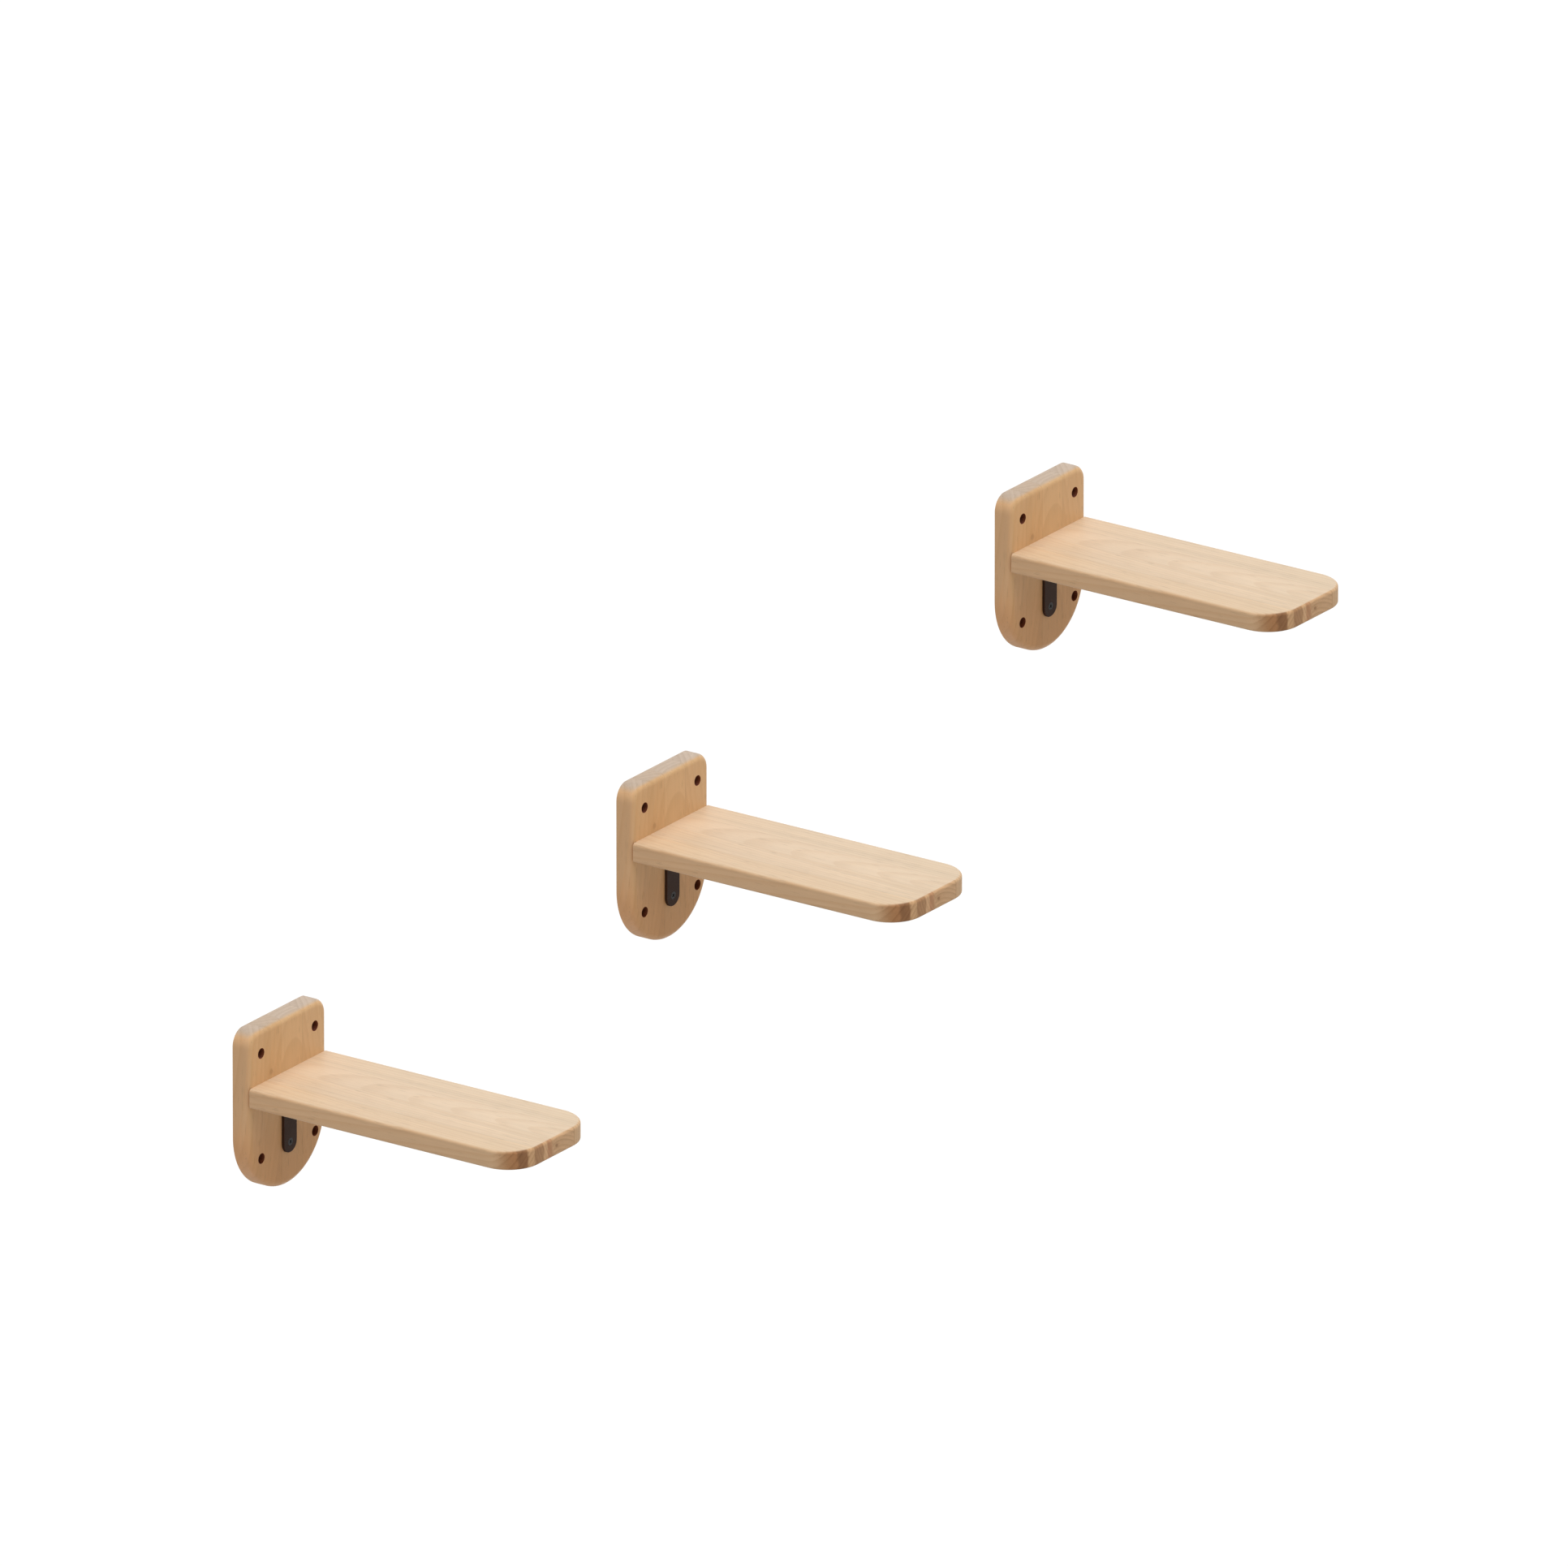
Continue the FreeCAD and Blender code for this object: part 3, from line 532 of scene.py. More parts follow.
print("pine's colour is ready to be mixed for any board")

# %% [markdown]
# ## Shade painted in the holes
# The walls of the screw holes are painted dark and reddish, as painted shade in the bores. The nearest
# hole is found by folding the plate on both its middle lines, so that one distance serves all four.

# %% Painted shade in the holes
WALL_HOLES = {"across": 0.083, "up": 0.100, "radius": 0.00475}
HOLE_SHADE_FADES = 0.0004
# the dark reddish colour painted as shade on the walls of the holes
PAINTED_HOLE_SHADE = (0.150, 0.016, 0.002)


def hole_shade_mask(wire, grain):
    """1 on the walls of a wall screw hole, where shade is painted, 0 elsewhere on the plate."""
    right = wire.math("SUBTRACT", wire.math("ABSOLUTE", grain["X"]), WALL_HOLES["across"] / 2)
    up = wire.math("SUBTRACT", wire.math("ABSOLUTE", grain["Z"]), WALL_HOLES["up"] / 2)
    reach = wire.vector("LENGTH", wire.joined(right, up, 0.0))
    radius = WALL_HOLES["radius"]
    return wire.step(reach, radius - HOLE_SHADE_FADES / 4, radius + HOLE_SHADE_FADES, 1.0, 0.0)


print("holes are", WALL_HOLES["across"] * 1000, "by", WALL_HOLES["up"] * 1000, "mm apart")

# %% [markdown]
# ## Pine
# The surface of oiled pine is a soft gloss over a relief finer than a tenth of a millimetre: late wood
# stands proud after sanding, fibres leave a hair texture, resin canals and glue lines are tiny grooves.
# That is too fine to model, so it is bump, while everything wider than that is real geometry.


# %% Pine material
OILED_ROUGH = 0.47
HOLE_WALLS_ROUGHER = 0.45
PINE_RELIEF = 0.00009
GLOSS_AND_RELIEF = {
    "Late Wood": (-0.07, 0.35),
    "End Grain": (0.14, 0.0),
    "Rounded Edge": (-0.05, 0.0),
    "Resin Canals": (0.05, -0.6),
    "Glue Line": (0.05, -0.5),
}


def pine(name, place, look, holes=False):
    material, wire = new_material(name)
    grain = read_grain(wire, place, look)
    colour = pine_colour(wire, grain, look)
    rough = wire.math("ADD", grain["Gloss"], OILED_ROUGH)
    if holes:
        # Painted shade: the walls of the wall screw holes are coloured dark and reddish, and made
        # rougher.
        hole_shade = hole_shade_mask(wire, grain)
        colour = wire.mix(hole_shade, colour, (*PAINTED_HOLE_SHADE, 1.0))
        rough = wire.math("MULTIPLY_ADD", hole_shade, HOLE_WALLS_ROUGHER, rough)
    height = grain["Hair"]
    for part, (dull, raised) in GLOSS_AND_RELIEF.items():
        rough = wire.math("MULTIPLY_ADD", grain[part], dull, rough)
        if raised:
            height = wire.math("MULTIPLY_ADD", grain[part], raised, height)
    shallow = {"Strength": 0.45, "Distance": PINE_RELIEF, "Height": height}
    bump = wire.node("ShaderNodeBump", shallow)
    surface = wire.node(
        "ShaderNodeBsdfPrincipled",
        {
            "Base Color": colour,
            "Roughness": rough,
            "IOR": 1.5,
            "Specular IOR Level": 0.2,
            "Normal": bump.outputs[0],
        },
    )
    wire.node("ShaderNodeOutputMaterial", {"Surface": surface.outputs[0]})
    return material


def dress(node, material):
    """The CAD piece keeps its shape and gets a finish."""
    mesh = frame["nodes"][node].data
    mesh.materials.clear()
    mesh.materials.append(material)


print("pine can be cut for any board")

# %% [markdown]
# ## Plank and plate
# The plank is the palest wood of the set, with one warmer stave along its near edge. Its front end
# shows the staves and their rings as upright blocks, the darkest just round the near corner. The plate
# is a more golden board, with shade painted dark and reddish on the walls of its four wall screw holes.
# Each board's look says which axes run across, through and along it, its two woods and their contrast,
# its tints (painted shading on the narrow edges, staves, painted shade lengthwise, both ends), its stave
# joints and rings, and its one pin knot. Lengths are in metres, and every tint multiplies the colour
# under it.

# %% Pine on the boards
PLANK = {
    "order": "XZY",
    "early": (0.79, 0.61, 0.435),
    "late": (0.655, 0.44, 0.26),
    "contrast": 0.30,
    # painted shade on the plank's sides: warmer and darker
    "painted_side_shading": (1.02, 0.90, 0.78),
    "reach": (-0.308, -0.018),
    # painted shade: the plank a little darker towards the plate and at its front end
    "painted_shade": [(0.0, (0.98, 0.99, 0.99)), (0.5, (1.0, 1.0, 1.0)), (1.0, (0.99, 0.96, 0.93))],
    "cut": (0.10, 0.62),
    "end_tints": [(0.88, 0.71, 0.55), (0.88, 0.71, 0.55)],
    "end_rings": -0.10,
    "joints": (-0.0325, -0.004, 0.028),
    "rings": {"Ring_Width": 0.0042, "Heart_Depth": 0.045, "Lean": 0.09},
    "tints": [(0.99, 0.955, 0.90), (1.0, 0.99, 0.975), (1.0, 1.0, 1.0), (0.98, 0.99, 0.99)],
    "bands": [
        (0.00, (0.86, 0.78, 0.72)),
        (0.05, (0.80, 0.68, 0.59)),
        (0.10, (0.74, 0.59, 0.49)),
        (0.12, (0.48, 0.38, 0.32)),
        (0.17, (0.50, 0.40, 0.34)),
        (0.19, (1.02, 1.02, 1.02)),
        (0.23, (1.00, 1.00, 1.00)),
        (0.25, (0.70, 0.61, 0.55)),
        (0.34, (0.72, 0.64, 0.58)),
        (0.36, (1.08, 1.06, 1.04)),
        (0.39, (1.06, 1.04, 1.02)),
        (0.40, (0.88, 0.74, 0.70)),
        (0.44, (0.88, 0.76, 0.72)),
        (0.46, (1.00, 0.98, 0.96)),
        (0.72, (1.02, 1.02, 1.02)),
        (0.76, (1.10, 1.14, 1.18)),
        (1.00, (1.16, 1.22, 1.30)),
    ],
    "knot": {"Middle": (0.001, 0.013, -0.308), "Squeeze": (1.0, 1.2, 0.5), "Size": 0.0026},
    "knot_depth": (0.22, 0.55),
}
PLATE = {
    "order": "XYZ",
    "early": (0.750, 0.478, 0.245),
    "late": (0.61, 0.33, 0.125),
    "contrast": 0.18,
    # painted light on the plate's sides: lighter
    "painted_side_shading": (1.07, 1.04, 1.08),
    "reach": (-0.088, 0.073),
    # painted shade: the plate below its plank darker and warmer
    "painted_shade": [(0.0, (0.98, 0.84, 0.73)), (0.25, (0.98, 0.87, 0.78)), (0.54, (1.0, 1.0, 1.0))],
    "cut": (0.55, 0.98),
    "end_tints": [(0.96, 0.94, 0.95), (0.79, 0.96, 1.40)],
    "end_rings": -0.05,
    "joints": (-0.036, -0.010, 0.022),
    "rings": {"Ring_Width": 0.0055, "Heart_Depth": 0.055, "Lean": 0.16},
    "tints": [(1.0, 0.98, 0.97), (0.985, 0.96, 0.93), (1.0, 1.0, 1.0), (0.99, 0.985, 0.99)],
    "bands": [(0.0, (0.96, 1.0, 1.05)), (0.45, (1.0, 1.02, 1.06)), (1.0, (1.02, 1.06, 1.12))],
    "knot": {"Middle": (-0.026, -0.018, 0.028), "Squeeze": (1.0, 0.3, 0.8), "Size": 0.0034},
    "knot_depth": (0.14, 0.28),
}

for step in STEPS:
    dress(f"{step}_step_plank", pine(f"{step}_plank_pine", PLACES[step], PLANK))
    dress(f"{step}_wall_plate", pine(f"{step}_plate_pine", PLACES[step], PLATE, holes=True))
    print(step, "boards have their pine")

# %% [markdown]
# ## Rubbed edges
# Coating is thinnest on a sharp edge, and that is where a screwdriver or a neighbour in the box rubs it
# away first. An edge is where the surface faces neither along nor square to the sheet's thickness. The
# mask is broken up with noise, because rubbing is never an even line. The bracket and all the screws use
# this group.

# %% Edge group
EDGE_STARTS = (0.12, 0.45)
EDGE_ENDS = (0.75, 0.97)

wire, given, result = new_group(
    "rubbed_edges",
    {
        "Place": (0.0, 0.0, 0.0),
        "Normal": (0.0, 0.0, 1.0),
        "Thickness Axis": (0.0, 1.0, 0.0),
        "Reach": 0.5,
    },
    ("Rubbed",),
)
lean = wire.vector("DOT_PRODUCT", given["Normal"], given["Thickness Axis"])
lean = wire.math("ABSOLUTE", lean)
edge = wire.step(lean, *EDGE_ENDS, 1.0, 0.0)
edge = wire.math("MULTIPLY", wire.step(lean, *EDGE_STARTS), edge)
broken = wire.math("ADD", wire.noise(given["Place"], 260.0, 4.0, 0.65), given["Reach"])
wire.feed(result["Rubbed"], wire.math("MULTIPLY", edge, wire.step(broken, 0.95, 1.15)))
rubbed_edges = wire.tree
print("edge group has", len(rubbed_edges.nodes), "nodes")

# %% [markdown]
# ## Powder coat on the brackets
# The bracket is bent from flat steel bar and powder coated a warm black. Baked powder never flows out
# quite flat: it keeps a fine orange peel, about a millimetre from crest to crest, which breaks up its
# highlights. Along the rubbed edges the coat is thin, and its red-brown primer shows through.

# %% Powder coat
COAT_BLACK = (0.046, 0.023, 0.014)
PRIMER_BROWN = (0.070, 0.020, 0.009)
DUST = (0.22, 0.17, 0.13)
PEEL_SCALE = 1100.0
PEEL_RELIEF = 0.00005
DUST_SCALE = 2600.0

coat, wire = new_material("bracket_powder_coat")
coordinates = wire.node("ShaderNodeTexCoord").outputs
spot = coordinates["Object"]
rubbed = wire.group(
    rubbed_edges, Place=spot, Normal=coordinates["Normal"], Thickness_Axis=AXES["Y"], Reach=0.60
)["Rubbed"]
worn = wire.group(handling, Place=spot, Amount=0.20)
peel = wire.noise(spot, PEEL_SCALE, 2.0, 0.45)
dust = wire.step(wire.noise(spot, DUST_SCALE, 1.0), 0.66, 0.74)
colour = wire.mix(1.0, (*COAT_BLACK, 1.0), grey(wire, worn["Tone"]), "MULTIPLY")
colour = wire.mix(wire.math("MULTIPLY", dust, 0.05), colour, (*DUST, 1.0))
colour = wire.mix(wire.math("MULTIPLY", rubbed, 0.85), colour, (*PRIMER_BROWN, 1.0))
rough = wire.math("MULTIPLY_ADD", rubbed, 0.10, wire.math("ADD", worn["Gloss"], 0.52))
bump = wire.node("ShaderNodeBump", {"Strength": 0.5, "Distance": PEEL_RELIEF, "Height": peel})
surface = wire.node(
    "ShaderNodeBsdfPrincipled",
    {
        "Base Color": colour,
        "Roughness": rough,
        "IOR": 1.45,
        "Specular IOR Level": 0.10,
        "Normal": bump.outputs[0],
    },
)
wire.node("ShaderNodeOutputMaterial", {"Surface": surface.outputs[0]})
for step in STEPS:
    dress(f"{step}_angle_bracket", coat)
print("brackets are coated")

# %% [markdown]
# ## Plated metal
# Screws are turned and plated in a barrel with thousands of others. The lathe leaves rings round the
# axis, and the barrel leaves small nicks and an uneven plating. One group gives all three as masks:
# noise that changes only along the axis makes the rings, and the rest is noise of two sizes.

# %% Turned group
RINGS_SCALE = 9000.0
NICKS_SCALE = 2400.0
CLOUDS_SCALE = 330.0

wire, given, result = new_group(
    "turned_metal",
    {"Place": (0.0, 0.0, 0.0), "Axis": (0.0, 1.0, 0.0)},
    ("Rings", "Nicks", "Clouding"),
)
depth = wire.vector("DOT_PRODUCT", given["Place"], given["Axis"])
depth = wire.joined(wire.math("MULTIPLY", depth, RINGS_SCALE), 0.0, 0.0)
wire.feed(result["Rings"], wire.noise(depth, 1.0))
nicks = wire.noise(given["Place"], NICKS_SCALE, 1.0)
wire.feed(result["Nicks"], wire.step(nicks, 0.64, 0.72))
wire.feed(result["Clouding"], wire.noise(given["Place"], CLOUDS_SCALE, 3.0, 0.6))
turned_metal = wire.tree
print("turned metal group has", len(turned_metal.nodes), "nodes")

# %% [markdown]
# ## A metal for any screw
# Blackened steel and yellow zinc differ in colour, gloss and in how much they mirror, but they wear
# alike: clouds in the plating, nicks, and bare steel along the edges. So one function makes both, and
# asks which way the screw points, for its rings lie round that axis.

# %% Screw material
BARE_STEEL = (0.17, 0.16, 0.155)
TURNED_RELIEF = 0.00003


def screw_metal(name, base, clouded, axis, rough_from, metallic):
    material, wire = new_material(name)
    coordinates = wire.node("ShaderNodeTexCoord").outputs
    spot = coordinates["Object"]
    turned = wire.group(turned_metal, Place=spot, Axis=AXES[axis])
    rubbed = wire.group(
        rubbed_edges, Place=spot, Normal=coordinates["Normal"], Thickness_Axis=AXES[axis], Reach=0.5
    )["Rubbed"]
    colour = wire.mix(turned["Clouding"], (*base, 1.0), (*clouded, 1.0))
    colour = wire.mix(wire.math("MULTIPLY", rubbed, 0.35), colour, (*BARE_STEEL, 1.0))
    rough = wire.math("MULTIPLY_ADD", turned["Clouding"], 0.18, rough_from)
    rough = wire.math("MULTIPLY_ADD", turned["Nicks"], 0.12, rough)
    height = wire.math("MULTIPLY_ADD", turned["Nicks"], -0.8, turned["Rings"])
    shallow = {"Strength": 0.35, "Distance": TURNED_RELIEF, "Height": height}
    bump = wire.node("ShaderNodeBump", shallow)
    surface = wire.node(
        "ShaderNodeBsdfPrincipled",
        {
            "Base Color": colour,
            "Roughness": rough,
            "Metallic": metallic,
            "Normal": bump.outputs[0],
        },
    )
    wire.node("ShaderNodeOutputMaterial", {"Surface": surface.outputs[0]})
    return material


print("bare steel on a screw's edges has the colour", BARE_STEEL)

# %% [markdown]
# ## Blackened steel and yellow zinc
# The short bracket screws are blackened, so that they vanish on the bracket. The long ones, in the end
# of the plank, keep their yellow zinc. Blackening is a dull oxide, so it mirrors far less than zinc.

# %% Plating
BLACKENED = {
    "base": (0.010, 0.008, 0.007),
    "clouded": (0.022, 0.018, 0.016),
    "rough_from": 0.46,
    "metallic": 0.3,
}
ZINC = {
    "base": (0.56, 0.43, 0.20),
    "clouded": (0.64, 0.54, 0.34),
    "rough_from": 0.26,
    "metallic": 1.0,
}
plate_screw = screw_metal("blackened_screw_in_plate", axis="Y", **BLACKENED)
plank_screw = screw_metal("blackened_screw_in_plank", axis="Z", **BLACKENED)
zinc_screw = screw_metal("yellow_zinc_screw", axis="Y", **ZINC)
print("screws can be blackened or zinc plated")

# %% [markdown]
# ## The shape of a wood screw
# In the CAD model a screw is a smooth pin with a head, which is enough for its fit. A real one has a
# thread, a thinner plain shank above it and a driver's cross that narrows as it goes down. The thread is
# laid on a grid that is itself a helix: each row follows one line of the thread round and round, so its
# crest stays crisp with few faces. Rows that run past either end are pressed flat onto it and merged.
# Nothing reaches outside the CAD pin, so the screw still fits its hole.

# %% Thread
COLUMNS = 24
ROWS = 8
TINY = 0.00005
FLANK = 0.3
POINTED = 0.7


def ring(bm, radius, depth):
    turn = 2 * math.pi / COLUMNS
    around = [(math.cos(n * turn), math.sin(n * turn)) for n in range(COLUMNS)]
    return [bm.verts.new((radius * x, radius * y, depth)) for x, y in around]


def skin(bm, first, second):
    for n, corner in enumerate(first):
        m = (n + 1) % len(first)
        bm.faces.new((corner, first[m], second[m], second[n]))


def thread(bm, screw, start, end):
    """Rows that follow the thread from where it starts to the tip, where its core narrows to a point."""
    crest = screw["crest"]
    root = screw["root"] * crest
    turns = round((end - start) / screw["pitch"])
    pitch = (end - start) / turns
    grid = {}
    for row in range(ROWS * (turns + 2) + 1):
        flank = max(0.0, 1.0 - abs((row % ROWS) / ROWS - 0.5) / FLANK)
        for column in range(COLUMNS):
            angle = 2 * math.pi * column / COLUMNS
            depth = start + (row / ROWS + column / COLUMNS - 1.0) * pitch
            depth = min(max(depth, start), end)
            run_in = min((depth - start) / pitch, 1.0)
            narrowing = min((end - depth) / screw["tip"], 1.0) ** POINTED
            radius = max(narrowing * (root + (crest - root) * flank * run_in), TINY)
            corner = (radius * math.cos(angle), radius * math.sin(angle), depth)
            grid[column, row] = bm.verts.new(corner)
    for row in range(ROWS * (turns + 1)):
        for column in range(COLUMNS):
            beside = (column + 1, row) if column + 1 < COLUMNS else (0, row + ROWS)
            above = (beside[0], beside[1] + 1)
            bm.faces.new((grid[column, row], grid[beside], grid[above], grid[column, row + 1]))
    return turns


print("a thread has", COLUMNS * ROWS, "faces a turn")

# %% [markdown]
# ## Head, neck and driver's cross
# Above the thread the screw is a stack of rings: the head's broken edge, its cone, the neck, the plain
# shank. The cross is an outline of twelve corners in the head's face, joined to a smaller one at its
# foot. Filling the face between the round edge and the cross leaves a real recess and a closed mesh.

# %% Head and recess
RECESS_DEPTH = 0.0012
RECESS_WIDTH = 0.0010
BROKEN_EDGE = 0.00006
SHOULDER = 0.0004
SHANK = 0.86


def cross(bm, reach, half_width, depth):
    """The outline of a driver's cross: three corners for each of its four arms."""
    arm = [(reach, -half_width), (reach, half_width), (half_width, half_width)]
    corners = []
    for quarter in range(4):
        turned = Matrix.Rotation(quarter * math.pi / 2, 2)
        corners += [turned @ Vector(corner) for corner in arm]
    return [bm.verts.new((*corner, depth)) for corner in corners]


def edges_round(bm, loop):
    return [bm.edges.get((corner, loop[n - 1])) for n, corner in enumerate(loop)]


def wood_screw(screw, head, length):
    """One screw that points along +Z, with the middle of its head's face at the origin."""
    bm = bmesh.new()
    crest = screw["crest"]
    neck = head / 2 - crest
    start = neck + screw["plain"]
    end = length - 4 * TINY
    outline = [
        (head / 2 - 2 * BROKEN_EDGE, 0.0),
        (head / 2 - BROKEN_EDGE, TINY),
        (crest, neck),
        (SHANK * crest, neck + SHOULDER),
        (SHANK * crest, start - SHOULDER),
        (screw["root"] * crest, start),
    ]
    rings = [ring(bm, radius, depth) for radius, depth in outline]
    for first, second in zip(rings, rings[1:]):
        skin(bm, first, second)
    turns = thread(bm, screw, start, end)
    last = ring(bm, TINY, end)
    tip = bm.verts.new((0.0, 0.0, length))
    for n, corner in enumerate(last):
        bm.faces.new((last[n - 1], corner, tip))

    mouth = cross(bm, screw["recess"] / 2, RECESS_WIDTH / 2, 0.0)
    foot = cross(bm, 0.6 * screw["recess"] / 2, 0.8 * RECESS_WIDTH / 2, RECESS_DEPTH)
    skin(bm, mouth, foot)
    bm.edges.index_update()
    around = edges_round(bm, rings[0]) + edges_round(bm, mouth)
    bmesh.ops.triangle_fill(bm, edges=around, use_beauty=True)
    bmesh.ops.triangle_fill(bm, edges=edges_round(bm, foot), use_beauty=True)
    bmesh.ops.remove_doubles(bm, verts=bm.verts, dist=TINY / 50)
    bmesh.ops.recalc_face_normals(bm, faces=bm.faces)
    open_edges = sum(not edge.is_manifold for edge in bm.edges)
    mesh = bpy.data.meshes.new("wood_screw")
    bm.to_mesh(mesh)
    bm.free()
    print("screw of", round(length * 1000), "mm:", turns, "turns,", open_edges, "open edges")
    return mesh


# %% [markdown]
# ## Screws in their holes
# Every set of screws takes its place, its head and its length from the CAD node that it stands for. No
# driver stops two screws at the same angle, so each is turned a golden angle further than the last.

# %% Screws in place
SHORT = {
    "crest": 0.00175,
    "root": 0.68,
    "pitch": 0.0013,
    "plain": 0.0014,
    "tip": 0.0036,
    "recess": 0.004,
}
LONG = {
    "crest": 0.00225,
    "root": 0.66,
    "pitch": 0.0020,
    "plain": 0.0180,
    "tip": 0.0048,
    "recess": 0.005,
}
CREASE = math.radians(38)
SCREW_SETS = {
    "bracket_plate_screws": (SHORT, Vector((0, 1, 0)), 2, plate_screw, "black_screw"),
    "bracket_plank_screws": (SHORT, Vector((0, 0, 1)), 1, plank_screw, "black_screw"),
    "plank_screws": (LONG, Vector((0, -1, 0)), 0, zinc_screw, "zinc_screw"),
}
GOLDEN_ANGLE = math.radians(137.5)
turned = 0.0
for kind, (screw, points, row, plating, slot) in SCREW_SETS.items():
    sample = None
    for step in STEPS:
        low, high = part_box(f"{step}_{kind}")
        size = high - low
        length = abs(size.dot(points))
        head = next(size[axis] for axis in range(3) if axis != row and not points[axis])
        sample = sample or wood_screw(screw, head, length)
        bm = bmesh.new()
        for middle in (low[row] + head / 2, high[row] - head / 2):
            centre = (low + high) / 2 - points * length / 2
            centre[row] = middle
            placed = sample.copy()
            turned += GOLDEN_ANGLE
            aim = points.to_track_quat("Z", "Y").to_matrix().to_4x4()
            spin = Matrix.Rotation(turned, 4, "Z")
            placed.transform(Matrix.Translation(centre) @ aim @ spin)
            bm.from_mesh(placed)
            bpy.data.meshes.remove(placed)
        mesh = bpy.data.meshes.new(f"{step}_threaded_{kind}")
        bm.to_mesh(mesh)
        bm.free()
        mesh.polygons.foreach_set("use_smooth", [True] * len(mesh.polygons))
        mesh.set_sharp_from_angle(angle=CREASE)
        mesh.materials.append(plating)
        piece = bpy.data.objects.new(mesh.name, mesh)
        scene.collection.objects.link(piece)
        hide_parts(f"{step}_{kind}")
        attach(piece, "root")
        print(piece.name, "has", len(mesh.polygons), "faces")

# %% [markdown]
# ## Beech dowels
# The dowels never show once the step is glued, but they do on the bench. Beech is pinker and denser than
# pine, without visible rings at this size, and it is covered in short brown flecks, its rays. The fibre
# group gives the streaks, and a noise stretched along the dowel gives the flecks.

# %% Beech
PALE_BEECH = (0.60, 0.40, 0.25)
PINK_BEECH = (0.70, 0.50, 0.34)
RAY_BROWN = (0.33, 0.17, 0.08)
FLECKS = (2600.0, 2600.0, 420.0)
BEECH_RELIEF = 0.00006

beech, wire = new_material("dowel_beech")
spot = wire.node("ShaderNodeTexCoord").outputs["Object"]
x, y, z = wire.split(spot)[:3]
length_last = wire.joined(x, z, y)
fibre = wire.group(fibres, Place=length_last, Stave=3.0)
fleck = wire.noise(wire.vector("MULTIPLY", length_last, FLECKS), 1.0, 1.0)
fleck = wire.step(fleck, 0.60, 0.72)
colour = wire.mix(fibre["Streaks"], (*PALE_BEECH, 1.0), (*PINK_BEECH, 1.0))
colour = wire.mix(wire.math("MULTIPLY", fleck, 0.5), colour, (*RAY_BROWN, 1.0))
height = wire.math("MULTIPLY_ADD", fleck, -0.5, fibre["Hair"])
bump = wire.node("ShaderNodeBump", {"Strength": 0.4, "Distance": BEECH_RELIEF, "Height": height})
surface = wire.node(
    "ShaderNodeBsdfPrincipled",
    {
        "Base Color": colour,
        "Roughness": wire.math("MULTIPLY_ADD", fibre["Hair"], 0.16, 0.50),
        "IOR": 1.5,
        "Normal": bump.outputs[0],
    },
)
wire.node("ShaderNodeOutputMaterial", {"Surface": surface.outputs[0]})
for step in STEPS:
    dress(f"{step}_plank_dowels", beech)
print("dowels are beech")

# %% [markdown]
# ## The studio
# A large pale floor lies well below the set, so that its shadow falls soft and out of the picture. The
# floor and the world look white to the camera, and to mirrors and glass, but light the boards gently.
# Seen from below, the floor lets the camera look through, so that the undersides can be judged too.
# One broad lamp from above makes the tops of the planks the brightest faces and leaves the plates
# under them in a calm shade.

# %% Floor, world and lamp
FLOOR_LEVEL = -1.2
FLOOR_REACH = 40.0
FLOOR_SHADE = 0.50
FLOOR_SEEN = 1.04
SKY_LIGHT = 0.40
LAMP_POWER = 1.95
LAMP_BREADTH = math.radians(70)
LAMP_FROM = Vector((-0.02, -0.22, 0.97))


def seen_directly(wire):
    """1 for what the camera, a mirror or glass looks at, 0 for light that bounces softly."""
    path = wire.node("ShaderNodeLightPath").outputs
    seen = wire.math("ADD", path["Is Camera Ray"], path["Is Glossy Ray"])
    return wire.math("ADD", seen, path["Is Transmission Ray"], clamp=True)


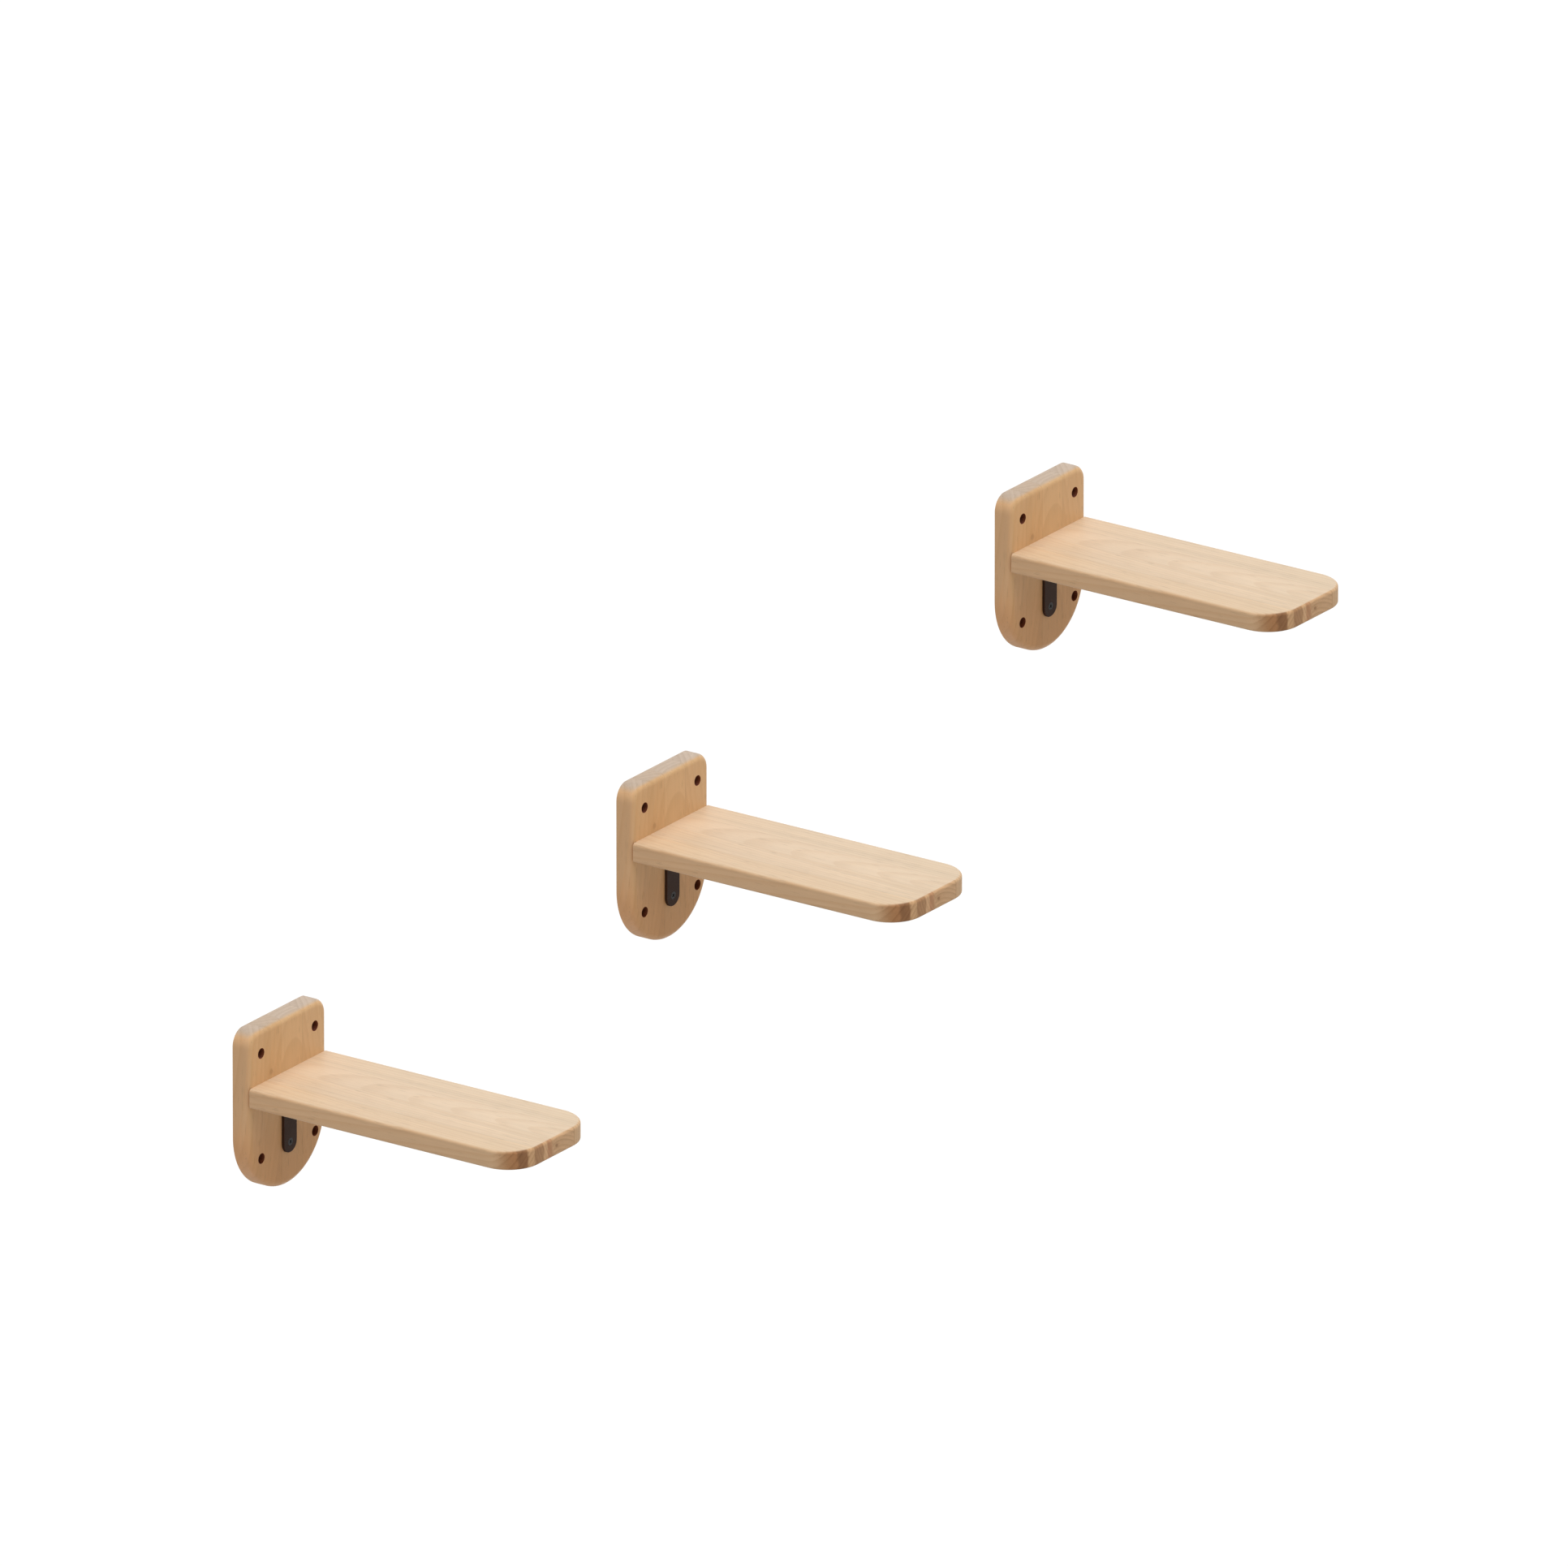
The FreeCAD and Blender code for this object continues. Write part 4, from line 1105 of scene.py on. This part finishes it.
material, wire = new_material("studio_floor")
patch = wire.noise(wire.node("ShaderNodeTexCoord").outputs["Object"], 0.8, 2.0)
shade = grey(wire, wire.math("MULTIPLY_ADD", patch, 0.01, FLOOR_SHADE))
paint = wire.node("ShaderNodeBsdfDiffuse", {"Color": shade})
glow = wire.math("MULTIPLY", seen_directly(wire), FLOOR_SEEN - FLOOR_SHADE)
lift = wire.node("ShaderNodeEmission", {"Strength": glow})
both = wire.node("ShaderNodeAddShader", {0: paint.outputs[0], 1: lift.outputs[0]})
from_below = wire.math(
    "MULTIPLY",
    wire.node("ShaderNodeNewGeometry").outputs["Backfacing"],
    wire.node("ShaderNodeLightPath").outputs["Is Camera Ray"],
)
nothing = wire.node("ShaderNodeBsdfTransparent")
choice = {0: from_below, 1: both.outputs[0], 2: nothing.outputs[0]}
sheer = wire.node("ShaderNodeMixShader", choice)
wire.node("ShaderNodeOutputMaterial", {"Surface": sheer.outputs[0]})

corners = [(-1, -1), (1, -1), (1, 1), (-1, 1)]
corners = [(x * FLOOR_REACH, y * FLOOR_REACH, FLOOR_LEVEL) for x, y in corners]
sheet = bpy.data.meshes.new("studio_floor")
sheet.from_pydata(corners, [], [(0, 1, 2, 3)])
sheet.materials.append(material)
floor = bpy.data.objects.new("studio_floor", sheet)
scene.collection.objects.link(floor)

world = bpy.data.worlds.new("studio")
world.use_nodes = True
world.node_tree.nodes.clear()
wire = Wiring(world.node_tree)
strength = wire.math("MULTIPLY_ADD", seen_directly(wire), 1.0 - SKY_LIGHT, SKY_LIGHT)
sky = wire.node("ShaderNodeBackground", {"Color": (1.0, 1.0, 1.0, 1.0), "Strength": strength})
wire.node("ShaderNodeOutputWorld", {"Surface": sky.outputs[0]})
scene.world = world

lamp = bpy.data.lights.new("soft_key", "SUN")
lamp.energy = LAMP_POWER
lamp.angle = LAMP_BREADTH
key = bpy.data.objects.new("soft_key", lamp)
key.rotation_euler = LAMP_FROM.to_track_quat("Z", "Y").to_euler()
scene.collection.objects.link(key)
print("floor at", FLOOR_LEVEL, "m, lamp of", LAMP_POWER, "W/m2")
